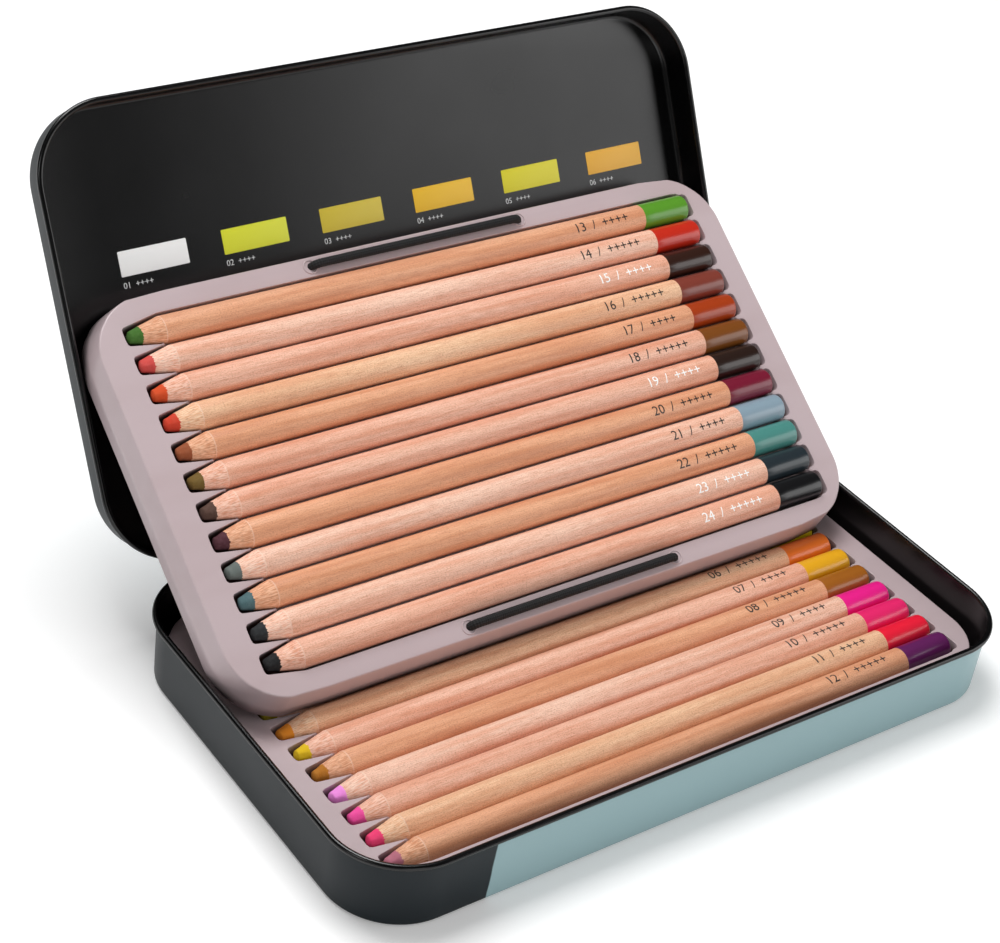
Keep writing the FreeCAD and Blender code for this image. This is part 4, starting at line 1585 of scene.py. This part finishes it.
class Pencil:
    """One pencil: wooden casing with its printed marks, and the pastel core."""

    HELD_ROWS = (4, 5)
    CASING_STEPS = 48
    CORE_STEPS = 40
    # Waves round the worn point: how often each goes round, and its size.
    FLATS = ((3, 1.0), (5, 0.7), (8, 0.5))
    FLAT_DEPTH = 0.028
    SLANT = 0.22

    def __init__(
        self, tray: str, row: int, finish: PencilFinish, place: Place, tray_sizes: TraySizes
    ) -> None:
        """Keep what this pencil is and where it lies.

        Args:
            tray: upper or lower.
            row: its row, 0 at the back.
            finish: its own look.
            place: where the tray's axes lie in the frame.
            tray_sizes: the tray's sizes.
        """
        self.tray = tray
        self.row = row
        self.label = f"{row + 1:02d}"
        self.finish = finish
        self.place = place
        self.sizes = PencilSizes()
        self.axis = (tray_sizes.row_y(row), tray_sizes.axis_z)
        fixed = tray == "lower" and row in self.HELD_ROWS
        self.body = "base" if fixed else f"{tray}_pencil_{self.label}"
        self.spin = np.random.default_rng(100 * len(tray) + row)

    def on_surface(self, grid: Array) -> Array:
        """Places on a lathe surface: length along the pencil and share of the turn.

        Args:
            grid: the lathe surface's points.

        Returns:
            Rows by columns by two.
        """
        along = (grid[..., 0] - self.sizes.tip_x) / self.sizes.uv_length
        around = np.broadcast_to(np.linspace(0.0, 1.0, grid.shape[1])[None, :], along.shape)
        return np.stack([along, around], axis=-1)

    def casing(self, shared: Shared) -> Item:
        """Turn the casing: cone, barrel, a thin step of dip paint and a rounded end.

        Args:
            shared: the shared node groups.

        Returns:
            The finished piece.
        """
        s = self.sizes
        wood = s.radius - s.lacquer
        cone = np.linspace([s.bare, s.core - 0.03], [s.cone - 0.12, wood - 0.04], 8)
        barrel = np.linspace([s.cone + 0.15, wood], [s.dip_start - 0.1, wood], 12)
        dip = np.linspace([s.dip_start + 0.15, s.radius], [s.length - s.end_round, s.radius], 6)
        end = arc((s.length - s.end_round, s.radius - s.end_round), s.end_round, 90.0, 0.0, 7)[1:]
        start = np.array([[s.bare + 0.5, 0.0], [s.bare + 0.5, s.core - 0.3]])
        profile = np.concatenate([start, cone, barrel, dip, end, [[s.length, 0.0]]])
        profile[:, 0] += s.tip_x
        grid = turned(profile, self.axis, self.CASING_STEPS)
        piece = Piece(f"{self.tray}_wood_{self.label}")
        surface = self.on_surface(grid)
        surface[..., 1] += s.uv_turn * self.row
        piece.grid(grid, uv=surface)
        material = self.finish.casing(f"{piece.name}_finish", s, shared)
        item = piece.build(self.place, [material])
        return settle(item, self.body, "cedar", f"{self.tray}_casing_{self.label}")

    def core(self, shared: Shared) -> Item:
        """Turn the core: a blunt worn point whose flats come from a few slow waves round the axis.

        Args:
            shared: the shared node groups.

        Returns:
            The finished piece.
        """
        s = self.sizes
        nose = np.array([[0.0, 0.0], [0.0, 0.55], [0.05, 0.95], [0.2, 1.25], [0.45, 1.5]])
        side = np.linspace([0.45, 1.57], [s.bare, s.core - 0.01], 9)[1:]
        back = np.array([[s.bare + 0.9, s.core - 0.05], [s.bare + 0.9, 0.0]])
        profile = np.concatenate([nose, side, back])
        profile[:, 0] += s.tip_x
        grid = turned(profile, self.axis, self.CORE_STEPS)
        angle = np.linspace(-np.pi / 2, 1.5 * np.pi, self.CORE_STEPS + 1)[None, :]
        phase = self.spin.uniform(0.0, TURN, 4)
        wave = np.zeros_like(angle)
        for (turns, size), begin in zip(self.FLATS, phase):
            wave = wave + size * (np.cos(turns * angle + begin) - 1.0)
        reach = np.clip((profile[:, :1] - s.tip_x) / s.bare, 0.0, 1.0)
        depth = self.FLAT_DEPTH * wave * np.sin(np.pi * reach**0.7)
        middle = np.array([0.0, self.axis[0], self.axis[1]])
        radial = (grid - middle) * np.array([0.0, 1.0, 1.0])
        grid = grid + radial * depth[..., None]
        slant = self.SLANT * (1.0 - np.cos(angle + phase[3])) * np.clip(1.0 - reach / 0.2, 0.0, 1.0)
        grid[..., 0] += slant * np.clip(profile[:, 1:] / 1.2, 0.0, 1.0)
        piece = Piece(f"{self.tray}_pastel_{self.label}")
        piece.grid(grid, uv=self.on_surface(grid))
        material = self.finish.core(f"{piece.name}_finish", shared)
        item = piece.build(self.place, [material])
        slot = f"pastel_{self.tray}_{self.label}"
        return settle(item, self.body, slot, f"{self.tray}_core_{self.label}")

    def marks(self, ink: Material) -> Item:
        """Print a plain number and plus marks on the barrel, wrapped round it by arc length.

        A point at height b over the print's middle line sits at that angle plus b over the radius.

        Args:
            ink: the print's material.

        Returns:
            The finished piece.
        """
        s = self.sizes
        number = self.row + 1 + (ROWS if self.tray == "upper" else 0)
        text = f"{number:02d}  /  " + "+" * (4 + self.row % 2)
        points, faces = lettering(text, s.figure, s.ink, np.linspace(-1.6, 1.6, 9))
        points[:, 0] += s.dip_start - s.print_gap - points[:, 0].max()
        wood = s.radius - s.lacquer
        angle = math.radians(s.print_turn) + points[:, 1] / wood
        radius = wood + s.ink_lift + points[:, 2]
        x = s.tip_x + points[:, 0]
        y = self.axis[0] + radius * np.sin(angle)
        z = self.axis[1] + radius * np.cos(angle)
        piece = Piece(f"{self.tray}_marks_{self.label}")
        piece.loose(np.stack([x, y, z], axis=-1), faces)
        return settle(piece.build(self.place, [ink]), self.body, None)


UPPER_ROWS = [
    PencilFinish((62, 108, 34), (88, 150, 40), WoodTone.BROWN),
    PencilFinish((208, 72, 66), (196, 40, 20), WoodTone.PALE),
    PencilFinish((214, 74, 24), (50, 26, 18), WoodTone.PINK, True),
    PencilFinish((206, 58, 32), (128, 58, 46), WoodTone.TAN),
    PencilFinish((150, 76, 40), (166, 58, 14), WoodTone.BROWN),
    PencilFinish((112, 86, 32), (124, 70, 22), WoodTone.PINK),
    PencilFinish((86, 60, 50), (42, 26, 20), WoodTone.PINK, True),
    PencilFinish((78, 36, 46), (120, 22, 48), WoodTone.BROWN),
    PencilFinish((102, 110, 106), (136, 158, 172), WoodTone.PALE),
    PencilFinish((76, 106, 110), (74, 138, 130), WoodTone.BROWN),
    PencilFinish((38, 40, 42), (38, 48, 54), WoodTone.PALE, True),
    PencilFinish((24, 24, 26), (18, 18, 20), WoodTone.PINK, True),
]
LOWER_ROWS = [
    PencilFinish((240, 240, 236), (238, 238, 232), WoodTone.TAN),
    PencilFinish((214, 222, 70), (206, 216, 50), WoodTone.PINK),
    PencilFinish((204, 186, 70), (196, 176, 56), WoodTone.BROWN),
    PencilFinish((238, 192, 36), (236, 186, 20), WoodTone.TAN),
    # The fifth pastel is painted darker than its dipped end: a painted shade where its point shows in the
    # slot.
    PencilFinish((190, 168, 30), (228, 206, 20), WoodTone.PALE),
    PencilFinish((242, 146, 34), (234, 116, 34), WoodTone.TAN),
    PencilFinish((228, 188, 14), (230, 168, 24), WoodTone.PINK),
    PencilFinish((182, 112, 24), (160, 94, 24), WoodTone.BROWN),
    PencilFinish((248, 146, 230), (236, 26, 138), WoodTone.PALE),
    PencilFinish((248, 78, 162), (234, 36, 108), WoodTone.PINK),
    PencilFinish((246, 62, 118), (238, 26, 56), WoodTone.TAN),
    PencilFinish((186, 110, 128), (100, 30, 92), WoodTone.BROWN),
]
CHART_COLOURS = [
    (252, 252, 250), (225, 228, 30), (215, 190, 40), (245, 190, 10), (226, 215, 10), (240, 176, 40),
    (236, 122, 40), (172, 104, 34), (242, 150, 214), (238, 62, 150), (230, 44, 92), (120, 44, 108),
    (74, 140, 52), (206, 60, 50), (216, 82, 34), (196, 60, 40), (158, 82, 44), (124, 92, 38),
    (92, 64, 52), (112, 38, 58), (140, 152, 156), (76, 132, 132), (60, 66, 70), (34, 34, 36),
]


@dataclass(frozen=True)
class Studio:
    """Pale floor, soft lights and a camera at the photograph's angle."""

    # Each lamp's name, place, side and power.
    LAMPS = (
        ("key", (-0.05, 0.42, 1.15), 0.6, 11.2),
        ("front_right", (1.05, -0.8, 0.42), 0.8, 5.2),
        ("left_edge", (-1.0, -0.15, 0.68), 0.35, 1.4),
        ("front_low", (-0.35, -1.25, 0.2), 0.6, 2.0),
    )

    eye: Triple = (-0.31569, -0.334835, 0.374199)
    right: Triple = (0.813639, -0.567529, 0.126103)
    up: Triple = (0.24269, 0.528666, 0.813396)
    back: Triple = (-0.528293, -0.631207, 0.567877)
    lens: float = 82.23
    floor_half: float = 6.0
    sky: float = 0.32
    gloss_sky: float = 0.03
    floor_lift: float = 0.15
    far_lift: float = 0.75
    aim: Triple = (0.0, 0.02, 0.03)

    def camera(self) -> None:
        """Set the camera where the photograph was taken from."""
        data = bpy.data.cameras.new("photo_camera")
        data.lens = self.lens
        data.sensor_fit = "HORIZONTAL"
        data.sensor_width = 36.0
        data.clip_start = 0.01
        data.clip_end = 50.0
        item = bpy.data.objects.new("photo_camera", data)
        axes = Matrix((self.right, self.up, self.back)).transposed().to_4x4()
        item.matrix_world = Matrix.Translation(Vector(self.eye)) @ axes
        bpy.context.scene.collection.objects.link(item)
        bpy.context.scene.camera = item

    def floor(self) -> None:
        """Lay a wide pale floor that keeps the object's shadow."""
        half = self.floor_half
        mesh = bpy.data.meshes.new("studio_floor")
        corners = [(-half, -half, 0.0), (half, -half, 0.0), (half, half, 0.0), (-half, half, 0.0)]
        mesh.from_pydata(corners, [], [(0, 1, 2, 3)])
        item = bpy.data.objects.new("studio_floor", mesh)
        item.location = (0.0, 0.0, -0.0002)
        bpy.context.scene.collection.objects.link(item)
        material, nodes, shader = new_material("studio_paper")
        path = nodes.add("ShaderNodeLightPath")
        paper = {"Base Color": (0.93, 0.93, 0.93, 1.0), "Roughness": 0.9}
        nodes.fill(shader, paper | {"Emission Color": (1.0, 1.0, 1.0, 1.0)})
        away = nodes.add("ShaderNodeVectorMath", operation="LENGTH")
        nodes.put(away.inputs[0], object_coordinates(nodes))
        far = nodes.span(away.outputs["Value"], 0.4, 1.6)
        lift = nodes.blend(far, self.floor_lift, self.far_lift)
        lift = nodes.math("MULTIPLY", path.outputs["Is Camera Ray"], lift)
        nodes.put(shader.inputs["Emission Strength"], lift)
        mesh.materials.append(material)

    def lamp(self, name: str, place: Triple, size: float, power: float) -> None:
        """Hang one soft square lamp that faces the tin.

        Args:
            name: the lamp's name.
            place: where it hangs, in metres.
            size: its side in metres.
            power: its power in watts.
        """
        data = bpy.data.lights.new(name, "AREA")
        data.shape = "SQUARE"
        data.size = size
        data.energy = power
        item = bpy.data.objects.new(name, data)
        item.location = place
        ahead = Vector(self.aim) - Vector(place)
        item.rotation_euler = ahead.to_track_quat("-Z", "Y").to_euler()
        bpy.context.scene.collection.objects.link(item)

    def sky_light(self) -> None:
        """An even white sky, plain white to the camera and dimmer to the gloss."""
        world = bpy.data.worlds.new("studio_sky")
        bpy.context.scene.world = world
        world.use_nodes = True
        nodes = Nodes(world.node_tree)
        ground = world.node_tree.nodes["Background"]
        path = nodes.add("ShaderNodeLightPath")
        seen = nodes.math("MAXIMUM", path.outputs["Is Camera Ray"], path.outputs["Is Transmission Ray"])
        plain = nodes.blend(path.outputs["Is Glossy Ray"], self.sky, self.gloss_sky)
        nodes.put(ground.inputs["Strength"], nodes.blend(seen, plain, 1.0))
        ground.inputs["Color"].default_value = (1.0, 1.0, 1.0, 1.0)

    def build(self) -> None:
        """Set up camera, floor, sky and lamps."""
        self.camera()
        self.floor()
        self.sky_light()
        for lamp in self.LAMPS:
            self.lamp(*lamp)
        bpy.context.scene.view_settings.view_transform = "Standard"


def main() -> None:
    """Build the tin, the trays, the cords and the pencils, then the studio."""
    logging.basicConfig(level=logging.INFO, format="%(message)s")
    shared = Shared()
    tin = TinSizes()
    shell = Tin(tin, shared)
    shell.build_base()
    shell.build_lid()
    Chart(tin, CHART_COLOURS).build(shared)
    steel = HingeSteel().make()
    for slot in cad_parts["hinge_pins"].material_slots:
        slot.material = steel
    sizes = TraySizes()
    plastic = FormedPlastic().make(shared)
    lower_place = Place(shift=(LOWER_SHIFT, tin.sheet))
    front = -sizes.width / 2
    upper_place = Place(TRAY_LEAN, (front, 0.0), (LEAN_FOOT[0] - front, LEAN_FOOT[1]))
    Tray("lower_tray", sizes, lower_place).build("base", plastic)
    elastic = Elastic().make()
    cord = CordSizes()
    upper_tray = Tray("upper_tray", sizes, upper_place)
    upper_tray.build("upper_tray", plastic)
    upper_tray.hole_rims(cord, "upper_tray", plastic)
    PullCord("pull_cord_back", cord.place, cord, sizes, upper_place).build(elastic)
    PullCord("pull_cord_front", -cord.place, cord, sizes, upper_place).build(elastic)
    dark_ink = Print("dark_ink", (34, 30, 28), 0.45).make(shared)
    pale_ink = Print("pale_ink", (252, 251, 248), 0.4).make(shared)
    for tray, place, rows in (("upper", upper_place, UPPER_ROWS), ("lower", lower_place, LOWER_ROWS)):
        for row, finish in enumerate(rows):
            pencil = Pencil(tray, row, finish, place, sizes)
            pencil.casing(shared)
            pencil.core(shared)
            pencil.marks(pale_ink if finish.pale_print else dark_ink)
    Studio().build()


if __name__ == "__main__":
    main()
